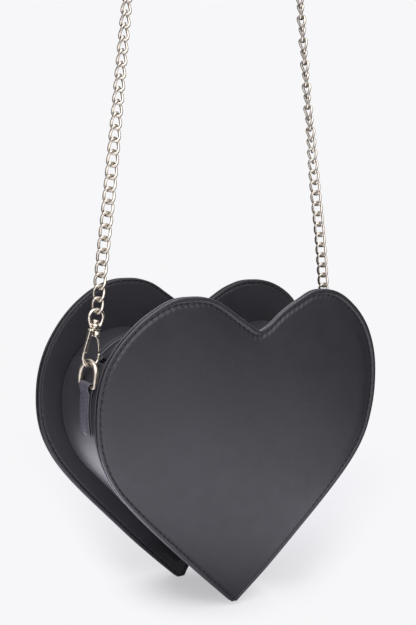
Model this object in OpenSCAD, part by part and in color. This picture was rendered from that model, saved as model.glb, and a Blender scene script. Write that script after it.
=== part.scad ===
// Heart shaped purse: two stiff heart panels that overhang a narrower heart
// shaped gusset, a zip along the top of the gusset, a D-ring on each side and
// a curb chain strap held by two swivel snap hooks.
// All shapes are worked out from the lowest point between the panel tips
// (x to the right, y to the back, z up) and then moved so that the part's
// origin is under the top link of the chain, where the purse is held.

/* [Panels] */
// Width of the heart panels
panel_w = 210; // [190:1:220]
// Height of the top of each lobe above the tip
panel_h = 187; // [180:1:195]
// Height of the bottom of the cleft above the tip
cleft_h = 168; // [160:1:172]
// Depth over the outer faces of both panels
bag_d = 64; // [56:1:72]
// Thickness of one leather cover
cover_t = 1.6; // [1.2:0.1:2]
// Thickness of the stiffener board
board_t = 0.8; // [0.6:0.1:1.2]
// How far the board stops short of the panel edge
board_inset = 1.2; // [0.8:0.1:2]
// Distance of the edge stitching from the panel edge
stitch_inset = 3.8; // [3:0.1:5]

/* [Gusset] */
// Radius of the gusset over each lobe
lobe_r = 37.5; // [36:0.5:38]
// Leather thickness of the gusset
gusset_t = 1.4; // [1:0.1:1.4]
// Width of the zip opening between the two top strips
zip_gap = 11; // [10:0.5:12]
// Lobe angle where the zip starts on the left shoulder
zip_a_left = 36; // [34:1:44]
// Lobe angle where the zip ends on the right shoulder
zip_a_right = 50; // [48:1:52]
// Pitch of the zip teeth
tooth_pitch = 2.5; // [2.4:0.1:3.5]

/* [Side hardware] */
// Wire diameter of the D-rings
ring_wire = 2; // [1.8:0.1:2]
// Wire diameter of the hook bend
hook_wire = 2; // [1.8:0.1:2]
// Width of the leather side tabs
tab_w = 10.5; // [9:0.5:11]
// Lean of the left hook towards the middle
lean_left = 4.7; // [3:0.1:7]
// Lean of the right hook towards the middle
lean_right = 13.4; // [10:0.1:14]

/* [Chain] */
// Wire diameter of the chain links
link_wire = 1.6; // [1.4:0.1:1.6]
// Outer width of a chain link
link_w = 7.2; // [6.8:0.1:7.4]
// Number of links in the strap
link_n = 89; // [89:2:91]
// Radius of the turn at the top of the strap
arch_r = 60; // [58:1:62]

/* [Hidden] */

// part origin: under the top link of the chain
org = [-23, 0, 428];
y_out = bag_d/2;
y_in = y_out - 2*cover_t - board_t;

// ---- heart outline of the panels ----
slope_c = 29;      // slope of the cleft sides
slope_t = 40.8;    // slope of the tip sides
r_c = 5;           // round of the cleft
r_t = 3.5;         // round of the tip
pt_side = [panel_w/2, 127];
pt_top = [53, panel_h];
c_c = [0, cleft_h + r_c];
c_t = [0, r_t/cos(slope_t)];
pt_cleft = c_c + r_c*[sin(slope_c), -cos(slope_c)];
pt_tip = c_t + r_t*[sin(slope_t), -cos(slope_t)];

function bez(a, b, c, d, t) = pow(1-t,3)*a + 3*pow(1-t,2)*t*b + 3*(1-t)*t*t*c + pow(t,3)*d;
function bezd(a, b, c, d, t) = 3*pow(1-t,2)*(b-a) + 6*(1-t)*t*(c-b) + 3*t*t*(d-c);
function unit(v) = v/norm(v);
function inward(v) = [-v[1], v[0]];
function seg(a, b, c, d, n, inset) = [for (i = [0:n-1]) let (t = i/n)
  bez(a,b,c,d,t) + inset*inward(unit(bezd(a,b,c,d,t)))];
// right half, from the tip up to the cleft
function panel_half(inset) = concat(
  [for (a = [-90:8:-90+slope_t-1]) c_t + (r_t-inset)*[cos(a), sin(a)]],
  seg(pt_tip, pt_tip + [80, 69], pt_side - [0, 42], pt_side, 16, inset),
  seg(pt_side, pt_side + [0, 35.5], pt_top + [23, 0], pt_top, 14, inset),
  seg(pt_top, pt_top - [20.5, 0], pt_cleft + [32.6, 18.1], pt_cleft, 10, inset),
  [for (a = [-90+slope_c:-7:-90]) c_c + (r_c+inset)*[cos(a), sin(a)]]);
function keep_right(l, m) = [for (p = l) if (p[0] > m) p];
function mirrored(l) = [for (i = [len(l)-1:-1:0]) [-l[i][0], l[i][1]]];
function panel_pts(inset) = let (h = keep_right(panel_half(inset), 0.3))
  concat(inset > r_t ? [[0, inset/cos(slope_t)]] : [], h, mirrored(h));

// ---- heart outline of the gusset: arcs that meet smoothly ----
g_lobe = [54, 123];
g_side = [29.5, 123];
side_r = g_lobe[0] + lobe_r - g_side[0];
g_tip = [0, 22];
tip_r = 8;
dip_r = 60;
dip_z = g_lobe[1] + sqrt(pow(lobe_r + dip_r, 2) - pow(g_lobe[0], 2));
a_dip = 90 + asin(g_lobe[0]/(lobe_r + dip_r));
v_st = g_tip - g_side;
a_side = atan2(v_st[1], v_st[0]) + acos((side_r - tip_r)/norm(v_st));
function pol(c, r, a) = c + r*[cos(a), sin(a)];
function steps(a0, a1, n) = [for (i = [0:n]) a0 + (a1-a0)*i/n];
// over the top, from the right shoulder to the left
function top_path(d, ar, al) = concat(
  [for (a = steps(ar, a_dip, 20)) pol(g_lobe, lobe_r-d, a)],
  [for (a = steps(a_dip-180, -a_dip, 14)) if (a < a_dip-180.5 && a > -a_dip+0.5) pol([0, dip_z], dip_r+d, a)],
  [for (a = steps(a_dip, al, 20)) let (p = pol(g_lobe, lobe_r-d, a)) [-p[0], p[1]]]);
function side_half(d, a_end) = concat(
  [for (a = steps(-90, a_side, 5)) if (a > -89.5) pol(g_tip, tip_r-d, a)],
  [for (a = steps(a_side, 0, 12)) if (a > a_side+0.5) pol(g_side, side_r-d, a)],
  [for (a = steps(0, a_end, 12)) if (a > 0.5) pol(g_lobe, lobe_r-d, a)]);
// round the bottom, from the left shoulder to the right
function low_path(d, al, ar) = concat(
  mirrored(side_half(d, al)), [[0, g_tip[1]-tip_r+d]], side_half(d, ar));
function back_to_front(l) = [for (i = [len(l)-1:-1:0]) l[i]];
function gusset_pts(d) = concat(low_path(d, zip_a_left, zip_a_right-1),
  [for (p = top_path(d, zip_a_right, zip_a_left+1)) p]);

module at_part() { translate(-org) children(); }
// extrude an x,z outline from y0 to y1
module along_y(y0, y1) { translate([0, y1, 0]) rotate([90, 0, 0]) linear_extrude(y1-y0) children(); }
module ring2(d0, d1) { difference() { polygon(gusset_pts(d0)); polygon(gusset_pts(d1)); } }
module top2(d0, d1, ar, al) { polygon(concat(top_path(d0, ar, al), back_to_front(top_path(d1, ar, al)))); }
module low2(d0, d1, al, ar) { polygon(concat(low_path(d0, al, ar), back_to_front(low_path(d1, al, ar)))); }

// ---- panels ----
module panel_layer(y0, y1, inset) { at_part() along_y(y0, y1) polygon(panel_pts(inset)); }
module thread(y0, y1) { at_part() along_y(y0, y1) difference() {
  polygon(panel_pts(stitch_inset)); polygon(panel_pts(stitch_inset+0.6)); } }
// groove that the stitching lies in, so the face stays flat
module groove(y0, y1) { at_part() along_y(y0, y1) difference() {
  polygon(panel_pts(stitch_inset-0.05)); polygon(panel_pts(stitch_inset+0.65)); } }
module front_cover_outer() { color("#2b2b2e") difference() { panel_layer(-y_out, -y_out+cover_t, 0); groove(-y_out-1, -y_out+0.3); } }
module front_board() { color("#8a7a62") panel_layer(-y_out+cover_t, -y_in-cover_t, board_inset); }
module front_cover_inner() { color("#2a2a2d") panel_layer(-y_in-cover_t, -y_in, 0); }
module front_stitching() { color("#151516") thread(-y_out+0.05, -y_out+0.3); }
module back_cover_outer() { color("#2b2b2e") difference() { panel_layer(y_out-cover_t, y_out, 0); groove(y_out-0.3, y_out+1); } }
module back_board() { color("#8a7a62") panel_layer(y_in+cover_t, y_out-cover_t, board_inset); }
module back_cover_inner() { color("#2a2a2d") panel_layer(y_in, y_in+cover_t, 0); }
module back_stitching() { color("#151516") thread(y_out-0.3, y_out-0.05); }

// ---- gusset ----
module gusset_band() { color("#303034") at_part() along_y(-y_in, y_in) low2(0, gusset_t, zip_a_left, zip_a_right); }
module gusset_top_front() { color("#303034") at_part() along_y(-y_in, -zip_gap/2) top2(0, gusset_t, zip_a_right, zip_a_left); }
module gusset_top_back() { color("#303034") at_part() along_y(zip_gap/2, y_in) top2(0, gusset_t, zip_a_right, zip_a_left); }

// ---- lining ----
lining_slot = 9.5;
module lining_band_front() { color("#1d1d20") at_part() along_y(-y_in+0.4, -lining_slot) ring2(2.2, 2.6); }
module lining_band_back() { color("#1d1d20") at_part() along_y(lining_slot, y_in-0.4) ring2(2.2, 2.6); }
module lining_band_base() { color("#1d1d20") at_part() along_y(-lining_slot, lining_slot) low2(2.2, 2.6, zip_a_left-6, zip_a_right-6); }
module lining_front() { color("#1d1d20") at_part() along_y(-y_in, -y_in+0.4) polygon(gusset_pts(2.2)); }
module lining_back() { color("#1d1d20") at_part() along_y(y_in-0.4, y_in) polygon(gusset_pts(2.2)); }

// ---- zip ----
tape_w = 9;
module zip_tape_front() { color("#141416") at_part() along_y(-tape_w, -0.5) top2(1.5, 2, zip_a_right-4, zip_a_left-4); }
module zip_tape_back() { color("#141416") at_part() along_y(0.5, tape_w) top2(1.5, 2, zip_a_right-4, zip_a_left-4); }
lobe_step = tooth_pitch/lobe_r*180/PI;
dip_step = tooth_pitch/dip_r*180/PI;
n_right = floor((a_dip-zip_a_right-5)/lobe_step);
n_left = floor((a_dip-zip_a_left-5)/lobe_step);
n_dip = floor((2*a_dip-182)/dip_step/2)*2;
module tooth(y0, y1) { translate([-0.75, y0, -1.35]) cube([1.5, y1-y0, 1.25]); }
module teeth(y0, y1) { at_part() {
  for (i = [0:n_right]) let (a = a_dip - i*lobe_step) translate([g_lobe[0], 0, g_lobe[1]]) rotate([0, 90-a, 0]) translate([0, 0, lobe_r]) tooth(y0, y1);
  for (i = [0:n_left]) let (a = a_dip - i*lobe_step) translate([-g_lobe[0], 0, g_lobe[1]]) rotate([0, a-90, 0]) translate([0, 0, lobe_r]) tooth(y0, y1);
  for (i = [1:n_dip-1]) let (a = -90 + (i-n_dip/2)*(2*a_dip-180)/n_dip) translate([0, 0, dip_z]) rotate([0, -90-a, 0]) translate([0, 0, -dip_r]) tooth(y0, y1); } }
module zip_teeth_front() { color("#1a1a1c") teeth(-2.4, -0.35); }
module zip_teeth_back() { color("#1a1a1c") teeth(0.35, 2.4); }
module stop(side, a) { at_part() translate([side*g_lobe[0], 0, g_lobe[1]]) rotate([0, side*(90-a), 0])
  translate([-1, -2.6, lobe_r-1.45]) cube([2, 5.2, 1.6]); }
module zip_stop_left() { color("#2a2a2c") stop(-1, zip_a_left+2.2); }
module zip_stop_right() { color("#2a2a2c") stop(1, zip_a_right+2.2); }
slider_a = 60;
// slider frame: +x down to the right shoulder, +z away from the gusset
module at_slider() { at_part() translate([g_lobe[0], 0, g_lobe[1]]) rotate([0, 90-slider_a, 0]) translate([0, 0, lobe_r]) children(); }
module zip_slider() { color("#3a3a3c") at_slider() union() {
  difference() {
    translate([-4.5, -3.6, 0.35]) cube([9, 7.2, 1]);
    for (s = [-1, 1]) translate([4.5, s*3.6, 0]) rotate([0, 0, 45]) cube([2.4, 2.4, 4], center = true); }
  translate([-4.5, -3.6, -3.4]) cube([9, 7.2, 0.8]);
  translate([-1.2, -0.2, -2.7]) cube([2.4, 0.4, 3.2]);
  difference() {
    translate([-2.6, -0.7, 1.3]) cube([5.2, 1.4, 2.2]);
    translate([-1.8, -1, 1.35]) cube([3.6, 2, 1.4]); } } }
module zip_pull() { color("#38383a") at_slider() translate([0, 0, 2.05]) union() {
  rotate([90, 0, 0]) cylinder(h = 3.8, r = 0.45, center = true, $fn = 32);
  for (s = [-1, 1]) translate([-5.6, s*1.45-0.45, -0.45]) cube([5.6, 0.9, 0.9]);
  translate([-19, -2.3, -0.45]) cube([14, 4.6, 0.9]);
  translate([-19, 0, 0]) cylinder(h = 0.9, r = 2.3, center = true, $fn = 48); } }

// ---- side tabs ----
bar_x = g_lobe[0] + lobe_r + 1.15;
bar_z = 133.4;
leg_c = [g_side[0], g_side[1]];
module tab_section() { difference() {
  union() {
    translate([bar_x, bar_z]) circle(r = 2.2, $fn = 48);
    polygon([[bar_x-2, bar_z-0.9], [bar_x-1.1, 127.5], [bar_x+1.1, 127.5], [bar_x+2, bar_z-0.9]]);
    translate([bar_x-1.1, 122.9]) square([2.2, 4.7]);
    intersection() {
      difference() { translate(leg_c) circle(r = side_r+2.25, $fn = 256); translate(leg_c) circle(r = side_r+0.05, $fn = 256); }
      translate([60, 100]) square([50, 23]); } }
  translate([bar_x, bar_z]) circle(r = ring_wire/2+0.08, $fn = 48);
  intersection() {
    difference() { translate(leg_c) circle(r = side_r+1.27, $fn = 256); translate(leg_c) circle(r = side_r+1.03, $fn = 256); }
    translate([60, 99]) square([50, 27]); } } }
module tab_outline() { union() {
  translate([-tab_w/2, 107.2]) square([tab_w, 32]);
  translate([-tab_w/2+3, 104.2]) square([tab_w-6, 4]);
  for (s = [-1, 1]) translate([s*(tab_w/2-3), 107.2]) circle(r = 3, $fn = 48); } }
module side_tab() { intersection() {
  along_y(-tab_w/2, tab_w/2) tab_section();
  translate([80, 0, 0]) rotate([90, 0, 90]) linear_extrude(30) tab_outline(); } }
module side_tab_left() { color("#29292c") at_part() mirror([1, 0, 0]) side_tab(); }
module side_tab_right() { color("#29292c") at_part() side_tab(); }

// ---- hooks: local frame at the bottom of the bend, z along the hook ----
hook_x = 91.5;
hook_z = 144.25;
bend_r = 5;
wr = hook_wire/2;
rivet = [1, 17.6];
module at_left() { at_part() translate([-hook_x, 0, hook_z]) rotate([0, lean_left, 0]) children(); }
module at_right() { at_part() translate([hook_x, 0, hook_z]) rotate([0, -lean_right, 0]) mirror([1, 0, 0]) children(); }
module half_ring(r, w) { rotate_extrude(angle = 180, $fn = 64) translate([r, 0]) circle(r = w, $fn = 32); }
module hook() { union() {
  difference() {
    union() {
      along_y(-1.9, 1.9) polygon([[-3.9, 20.3], [2.9, 20.3], [3.2, 15.3], [-3.2, 15.3], [-4.4, 15.3]]);
      along_y(-1.3, 1.3) polygon([[-3.9, 20.3], [-1.6, 20.3], [-3.7, 5.3], [-6.2, 5.3]]); }
    along_y(-1.05, 1.05) polygon([[-1.4, 19.6], [4, 19.6], [4, 14], [-1.4, 14]]);
    translate([rivet[0], 0, rivet[1]]) rotate([90, 0, 0]) cylinder(h = 6, r = 0.78, center = true, $fn = 32); }
  translate([0, 0, bend_r]) rotate([-90, 0, 0]) half_ring(bend_r, wr);
  translate([-bend_r, 0, bend_r-0.2]) cylinder(h = 1.9, r = wr+0.05, $fn = 32);
  translate([bend_r, 0, bend_r-0.2]) cylinder(h = 0.8, r = wr+0.05, $fn = 32);
  translate([bend_r, 0, bend_r+0.6]) sphere(r = wr+0.05, $fn = 32);
  translate([0, 0, 20]) cylinder(h = 0.9, r = 1.9, $fn = 48);
  translate([0, 0, 20.5]) cylinder(h = 4, r = 0.88, $fn = 48);
  translate([0, 0, 23.45]) cylinder(h = 2.1, r = 1.6, $fn = 48); } }
module gate() { difference() {
  translate([rivet[0], 0, rivet[1]]) union() {
    rotate([90, 0, 0]) cylinder(h = 1.2, r = 1.6, center = true, $fn = 48);
    rotate([0, -19.4, 0]) {
      translate([-0.8, -0.6, -10.6]) cube([1.6, 1.2, 10]);
      translate([-0.8, -1, -10.6]) cube([1.6, 2, 6.6]);
      translate([0.9, 0, -6]) rotate([90, 0, 0]) cylinder(h = 2, r = 0.8, center = true, $fn = 32); } }
  translate([rivet[0], 0, rivet[1]]) rotate([90, 0, 0]) cylinder(h = 6, r = 0.8, center = true, $fn = 32); } }
module rivet_pin() { translate([rivet[0], 0, rivet[1]]) rotate([90, 0, 0]) union() {
  cylinder(h = 4.2, r = 0.74, center = true, $fn = 32);
  for (s = [-1, 1]) translate([0, 0, s*2.2]) cylinder(h = 0.5, r = 1.45, center = true, $fn = 48); } }
module gate_spring() { for (s = [-1, 1]) translate([rivet[0], s*0.83, rivet[1]]) rotate([90, 0, 0])
  rotate_extrude($fn = 48) translate([1.05, 0]) circle(r = 0.16, $fn = 16); }
eye_r = 4.45;
eye_z = 26.65;
module swivel_eye() { difference() {
  union() {
    translate([0, 0, eye_z]) rotate([90, 0, 0]) rotate_extrude($fn = 64) translate([eye_r, 0]) circle(r = 0.9, $fn = 32);
    translate([0, 0, 21.1]) cylinder(h = 2.2, r = 2, $fn = 48); }
  translate([0, 0, 20]) cylinder(h = 3.31, r = 0.95, $fn = 48);
  translate([0, 0, 23.3]) cylinder(h = 2.4, r = 1.75, $fn = 48); } }
module hook_left() { color("#cfc8b8") at_left() hook(); }
module hook_right() { color("#cfc8b8") at_right() hook(); }
module gate_left() { color("#d4cdbd") at_left() gate(); }
module gate_right() { color("#d4cdbd") at_right() gate(); }
module gate_rivet_left() { color("#e0dacb") at_left() rivet_pin(); }
module gate_rivet_right() { color("#e0dacb") at_right() rivet_pin(); }
module gate_spring_left() { color("#b9b9b9") at_left() gate_spring(); }
module gate_spring_right() { color("#b9b9b9") at_right() gate_spring(); }
module swivel_eye_left() { color("#d6cfbf") at_left() swivel_eye(); }
module swivel_eye_right() { color("#d6cfbf") at_right() swivel_eye(); }

// ---- D-rings: bar in the tab, bow round the hook bend ----
bow_r = 7.5;
bow_gap = hook_wire/2 + ring_wire/2 + 0.6;
function bow_top(side, lean) = [side*hook_x - side*bow_gap*sin(lean), hook_z + bow_gap*cos(lean)];
module d_ring(side, lean) { at_part() let (t = bow_top(side, lean), v = t - [side*bar_x, bar_z], h = norm(v))
  translate([side*bar_x, 0, bar_z]) rotate([0, atan2(v[0], v[1]), 0]) union() {
    rotate([90, 0, 0]) cylinder(h = 2*bow_r, r = ring_wire/2, center = true, $fn = 32);
    for (s = [-1, 1]) {
      translate([0, s*bow_r, 0]) sphere(r = ring_wire/2, $fn = 32);
      translate([0, s*bow_r, 0]) cylinder(h = h-bow_r, r = ring_wire/2, $fn = 32); }
    translate([0, 0, h-bow_r]) rotate([90, 0, 90]) half_ring(bow_r, ring_wire/2); } }
module d_ring_left() { color("#d2cbbb") d_ring(-1, lean_left); }
module d_ring_right() { color("#d2cbbb") d_ring(1, lean_right); }

// ---- chain: up the left strand, over the arch, down the right strand ----
link_gap = 0.12;
eye_bar = eye_z + eye_r - 0.9 - link_wire/2 - 0.1;
end_l = [-hook_x + eye_bar*sin(lean_left), hook_z + eye_bar*cos(lean_left)];
end_r = [hook_x - eye_bar*sin(lean_right), hook_z + eye_bar*cos(lean_right)];
arch_c = [-23, 372];
v_l = arch_c - end_l;
v_r = arch_c - end_r;
dir_l = atan2(v_l[1], v_l[0]) + asin(arch_r/norm(v_l));
dir_r = atan2(v_r[1], v_r[0]) - asin(arch_r/norm(v_r));
len_l = sqrt(pow(norm(v_l), 2) - pow(arch_r, 2));
len_r = sqrt(pow(norm(v_r), 2) - pow(arch_r, 2));
turn = (dir_l + 90) - (dir_r - 90);
len_a = arch_r*turn*PI/180;
len_all = len_l + len_a + len_r;
pitch = (len_all - link_wire - link_gap)/link_n;
link_c = pitch + link_wire + link_gap;
// place along the strap: [x, z, lean from straight up]
function strap_at(s) =
  s < len_l ? [end_l[0] + s*cos(dir_l), end_l[1] + s*sin(dir_l), 90-dir_l] :
  s < len_l+len_a ? let (a = dir_l + 90 - (s-len_l)/arch_r*180/PI) [arch_c[0] + arch_r*cos(a), arch_c[1] + arch_r*sin(a), 180-a] :
  let (b = len_all - s) [end_r[0] + b*cos(dir_r), end_r[1] + b*sin(dir_r), 270-dir_r];
n_l = floor(len_l/pitch);
n_a = n_l + round(len_a/pitch);
rc = (link_w-link_wire)/2;
module link() { union() {
  for (s = [-1, 1]) {
    translate([0, 0, s*(link_c/2-rc)]) rotate([s*90, 0, 0]) half_ring(rc, link_wire/2);
    translate([s*rc, 0, 0]) cylinder(h = link_c-2*rc+0.4, r = link_wire/2+0.04, center = true, $fn = 32); } } }
module links(i0, i1) { at_part() for (i = [i0:i1]) let (q = strap_at(link_c/2 + i*pitch))
  translate([q[0], 0, q[1]]) rotate([0, q[2], 0]) rotate([0, 0, i%2 == 0 ? 90 : 0]) link(); }
module chain_left() { color("#cdc7b9") links(0, n_l-1); }
module chain_top() { color("#cdc7b9") links(n_l, n_a-1); }
module chain_right() { color("#cdc7b9") links(n_a, link_n-1); }

front_cover_outer();
front_board();
front_cover_inner();
front_stitching();
back_cover_outer();
back_board();
back_cover_inner();
back_stitching();
gusset_band();
gusset_top_front();
gusset_top_back();
lining_band_front();
lining_band_back();
lining_band_base();
lining_front();
lining_back();
zip_tape_front();
zip_tape_back();
zip_teeth_front();
zip_teeth_back();
zip_stop_left();
zip_stop_right();
zip_slider();
zip_pull();
side_tab_left();
side_tab_right();
d_ring_left();
d_ring_right();
hook_left();
hook_right();
gate_left();
gate_right();
gate_rivet_left();
gate_rivet_right();
gate_spring_left();
gate_spring_right();
swivel_eye_left();
swivel_eye_right();
chain_left();
chain_top();
chain_right();
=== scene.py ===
import bpy, bmesh, math, random
import numpy as np
from mathutils import Vector, Matrix, noise


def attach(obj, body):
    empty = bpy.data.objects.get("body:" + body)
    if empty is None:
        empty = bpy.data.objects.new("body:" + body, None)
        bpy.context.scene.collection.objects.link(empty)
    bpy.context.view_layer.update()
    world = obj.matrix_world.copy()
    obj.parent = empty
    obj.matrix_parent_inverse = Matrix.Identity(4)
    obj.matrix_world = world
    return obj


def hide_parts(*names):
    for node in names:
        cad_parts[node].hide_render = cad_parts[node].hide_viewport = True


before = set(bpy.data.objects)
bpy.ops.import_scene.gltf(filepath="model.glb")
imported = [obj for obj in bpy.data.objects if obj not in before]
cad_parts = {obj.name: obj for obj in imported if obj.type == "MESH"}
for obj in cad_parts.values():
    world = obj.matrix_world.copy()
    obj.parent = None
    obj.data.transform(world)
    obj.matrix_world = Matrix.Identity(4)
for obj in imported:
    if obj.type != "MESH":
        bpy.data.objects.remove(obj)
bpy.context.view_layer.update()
random.seed(7)

# Everything below is worked out in millimetres from the lowest point between
# the panel tips (x right, y back, z up), then moved into the part's frame.
OX, OZ = -23.0, 428.0


def part(p):
    return Vector(((p[0] - OX) / 1000.0, p[1] / 1000.0, (p[2] - OZ) / 1000.0))


# ---------------------------------------------------------------- camera
cam_data = bpy.data.cameras.new("camera")
cam = bpy.data.objects.new("camera", cam_data)
bpy.context.scene.collection.objects.link(cam)
az, el, roll = math.radians(-39.577), math.radians(8.079), math.radians(4.49)
back = Vector((math.sin(az) * math.cos(el), -math.cos(az) * math.cos(el), math.sin(el)))
right = Vector((0, 0, 1)).cross(back).normalized()
up = back.cross(right)
xr = math.cos(roll) * right + math.sin(roll) * up
yr = -math.sin(roll) * right + math.cos(roll) * up
loc = Vector((0, 0, 95.0)) + 663.22 * back - 2.678 * xr + 75.18 * yr
m = Matrix((xr, yr, back)).transposed().to_4x4()
m.translation = part(loc)
cam.matrix_world = m
cam_data.sensor_width = 36.0
cam_data.lens = 1098.69 * 36.0 / 625.0
cam_data.clip_start = 0.01
bpy.context.scene.camera = cam


# ---------------------------------------------------------------- materials
def new_mat(name):
    mat = bpy.data.materials.new(name)
    mat.use_nodes = True
    nt = mat.node_tree
    bsdf = nt.nodes["Principled BSDF"]
    tc = nt.nodes.new("ShaderNodeTexCoord")
    return mat, nt, bsdf, tc.outputs["Object"]


def noise_tex(nt, vec, scale, detail=3.0, rough=0.5, stretch=None):
    if stretch is not None:
        mp = nt.nodes.new("ShaderNodeMapping")
        mp.inputs["Scale"].default_value = stretch
        nt.links.new(vec, mp.inputs["Vector"])
        vec = mp.outputs["Vector"]
    n = nt.nodes.new("ShaderNodeTexNoise")
    n.inputs["Scale"].default_value = scale
    n.inputs["Detail"].default_value = detail
    n.inputs["Roughness"].default_value = rough
    nt.links.new(vec, n.inputs["Vector"])
    return n.outputs["Fac"]


def ramp(nt, fac, stops):
    r = nt.nodes.new("ShaderNodeValToRGB")
    e = r.color_ramp.elements
    e[0].position, e[0].color = stops[0][0], stops[0][1]
    e[1].position, e[1].color = stops[-1][0], stops[-1][1]
    for pos, col in stops[1:-1]:
        x = e.new(pos)
        x.color = col
    nt.links.new(fac, r.inputs["Fac"])
    return r.outputs["Color"]


def grey(v, k=1.16):
    return (v, v * (0.985 if k > 1.0 else 1.0), v * k, 1.0)


def bump(nt, bsdf, height, strength, dist, under=None):
    b = nt.nodes.new("ShaderNodeBump")
    b.inputs["Strength"].default_value = strength
    b.inputs["Distance"].default_value = dist
    nt.links.new(height, b.inputs["Height"])
    if under is not None:
        nt.links.new(under, b.inputs["Normal"])
    return b.outputs["Normal"]


def leather(name, lo, hi, rlo, rhi, grain=0.35, coat=0.0, sheen=0.0, coat_rough=0.35):
    mat, nt, bsdf, obj = new_mat(name)
    broad = noise_tex(nt, obj, 22.0, 4.0, 0.55)
    nt.links.new(ramp(nt, broad, [(0.3, grey(lo)), (0.72, grey(hi))]), bsdf.inputs["Base Color"])
    vor = nt.nodes.new("ShaderNodeTexVoronoi")
    vor.feature = "F1"
    vor.inputs["Scale"].default_value = 1150.0
    warp = nt.nodes.new("ShaderNodeTexNoise")
    warp.inputs["Scale"].default_value = 420.0
    warp.inputs["Detail"].default_value = 2.0
    nt.links.new(obj, warp.inputs["Vector"])
    mixv = nt.nodes.new("ShaderNodeMixRGB")
    mixv.blend_type = "LINEAR_LIGHT"
    mixv.inputs["Fac"].default_value = 0.0012
    nt.links.new(obj, mixv.inputs["Color1"])
    nt.links.new(warp.outputs["Color"], mixv.inputs["Color2"])
    nt.links.new(mixv.outputs["Color"], vor.inputs["Vector"])
    fine = noise_tex(nt, obj, 2600.0, 2.0, 0.6)
    n1 = bump(nt, bsdf, vor.outputs["Distance"], grain, 0.00022)
    n2 = bump(nt, bsdf, fine, grain * 0.5, 0.0001, n1)
    soft = noise_tex(nt, obj, 55.0, 2.0, 0.5)
    n3 = bump(nt, bsdf, soft, 0.10, 0.0012, n2)
    nt.links.new(n3, bsdf.inputs["Normal"])
    rgh = noise_tex(nt, obj, 90.0, 5.0, 0.6)
    nt.links.new(ramp(nt, rgh, [(0.3, grey(rlo, 1.0)), (0.7, grey(rhi, 1.0))]), bsdf.inputs["Roughness"])
    bsdf.inputs["IOR"].default_value = 1.48
    if coat:
        bsdf.inputs["Coat Weight"].default_value = coat
        bsdf.inputs["Coat Roughness"].default_value = coat_rough
    if sheen:
        bsdf.inputs["Sheen Weight"].default_value = sheen
        bsdf.inputs["Sheen Roughness"].default_value = 0.45
        bsdf.inputs["Sheen Tint"].default_value = (0.92, 0.90, 1.0, 1.0)
    return mat


def metal(name, base, rough, scratch=0.06):
    mat, nt, bsdf, obj = new_mat(name)
    bsdf.inputs["Metallic"].default_value = 1.0
    tone = noise_tex(nt, obj, 260.0, 3.0, 0.5)
    c0 = tuple(v * 0.93 for v in base) + (1.0,)
    nt.links.new(ramp(nt, tone, [(0.35, c0), (0.7, tuple(base) + (1.0,))]), bsdf.inputs["Base Color"])
    r = noise_tex(nt, obj, 900.0, 4.0, 0.6)
    nt.links.new(ramp(nt, r, [(0.3, grey(rough * 0.75, 1.0)), (0.75, grey(rough * 1.35, 1.0))]), bsdf.inputs["Roughness"])
    s = noise_tex(nt, obj, 1300.0, 2.0, 0.5)
    nt.links.new(bump(nt, bsdf, s, scratch, 0.00006), bsdf.inputs["Normal"])
    return mat


def woven(name, lo, hi, scale, rough=0.85):
    mat, nt, bsdf, obj = new_mat(name)
    waves = []
    for axis in ("X", "Y"):
        w = nt.nodes.new("ShaderNodeTexWave")
        w.wave_type = "BANDS"
        w.bands_direction = axis
        w.inputs["Scale"].default_value = scale
        w.inputs["Distortion"].default_value = 0.4
        nt.links.new(obj, w.inputs["Vector"])
        waves.append(w.outputs["Fac"])
    w = nt.nodes.new("ShaderNodeTexWave")
    w.wave_type = "BANDS"
    w.bands_direction = "Z"
    w.inputs["Scale"].default_value = scale
    w.inputs["Distortion"].default_value = 0.4
    nt.links.new(obj, w.inputs["Vector"])
    mx = nt.nodes.new("ShaderNodeMath")
    mx.operation = "MULTIPLY"
    nt.links.new(waves[1], mx.inputs[0])
    ad = nt.nodes.new("ShaderNodeMath")
    ad.operation = "MAXIMUM"
    nt.links.new(waves[0], ad.inputs[0])
    nt.links.new(w.outputs["Fac"], ad.inputs[1])
    nt.links.new(ad.outputs[0], mx.inputs[1])
    nt.links.new(ramp(nt, mx.outputs[0], [(0.0, grey(lo)), (1.0, grey(hi))]), bsdf.inputs["Base Color"])
    bsdf.inputs["Roughness"].default_value = rough
    nt.links.new(bump(nt, bsdf, mx.outputs[0], 0.4, 0.0002), bsdf.inputs["Normal"])
    return mat


M_PANEL = leather("panel_leather", 0.0080, 0.0110, 0.40, 0.48, grain=0.22)
M_INNER = leather("inner_panel_leather", 0.0130, 0.0170, 0.46, 0.56, grain=0.22)
M_GUSSET = leather("gusset_leather", 0.0070, 0.0100, 0.50, 0.58, grain=0.14, coat=1.0, sheen=0.05, coat_rough=0.48)
# the gusset leather made lighter for the zip strips: painted light for the light from above on their tops
M_STRIP_PAINTED_LIGHT = leather("zip_strip_leather_painted_light", 0.0130, 0.0180, 0.42, 0.50, grain=0.14, coat=0.8, coat_rough=0.42)
# the side tabs' black leather made several times lighter: painted light for the light falling on them
M_TAB_PAINTED_LIGHT = leather("tab_leather_painted_light", 0.0520, 0.0640, 0.46, 0.54, grain=0.20, coat=0.5, sheen=0.05, coat_rough=0.45)
M_EDGE = leather("edge_paint", 0.0190, 0.0250, 0.38, 0.46, grain=0.10, coat=0.28, coat_rough=0.36)
# the same edge paint, darker and rougher on the back panel: the darker tone is painted shade
M_EDGE_BACK_PAINTED_SHADE = leather("back_edge_paint_painted_shade", 0.0090, 0.0120, 0.56, 0.64, grain=0.10)
M_THREAD = woven("waxed_thread", 0.010, 0.024, 2500.0, 0.42)
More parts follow.
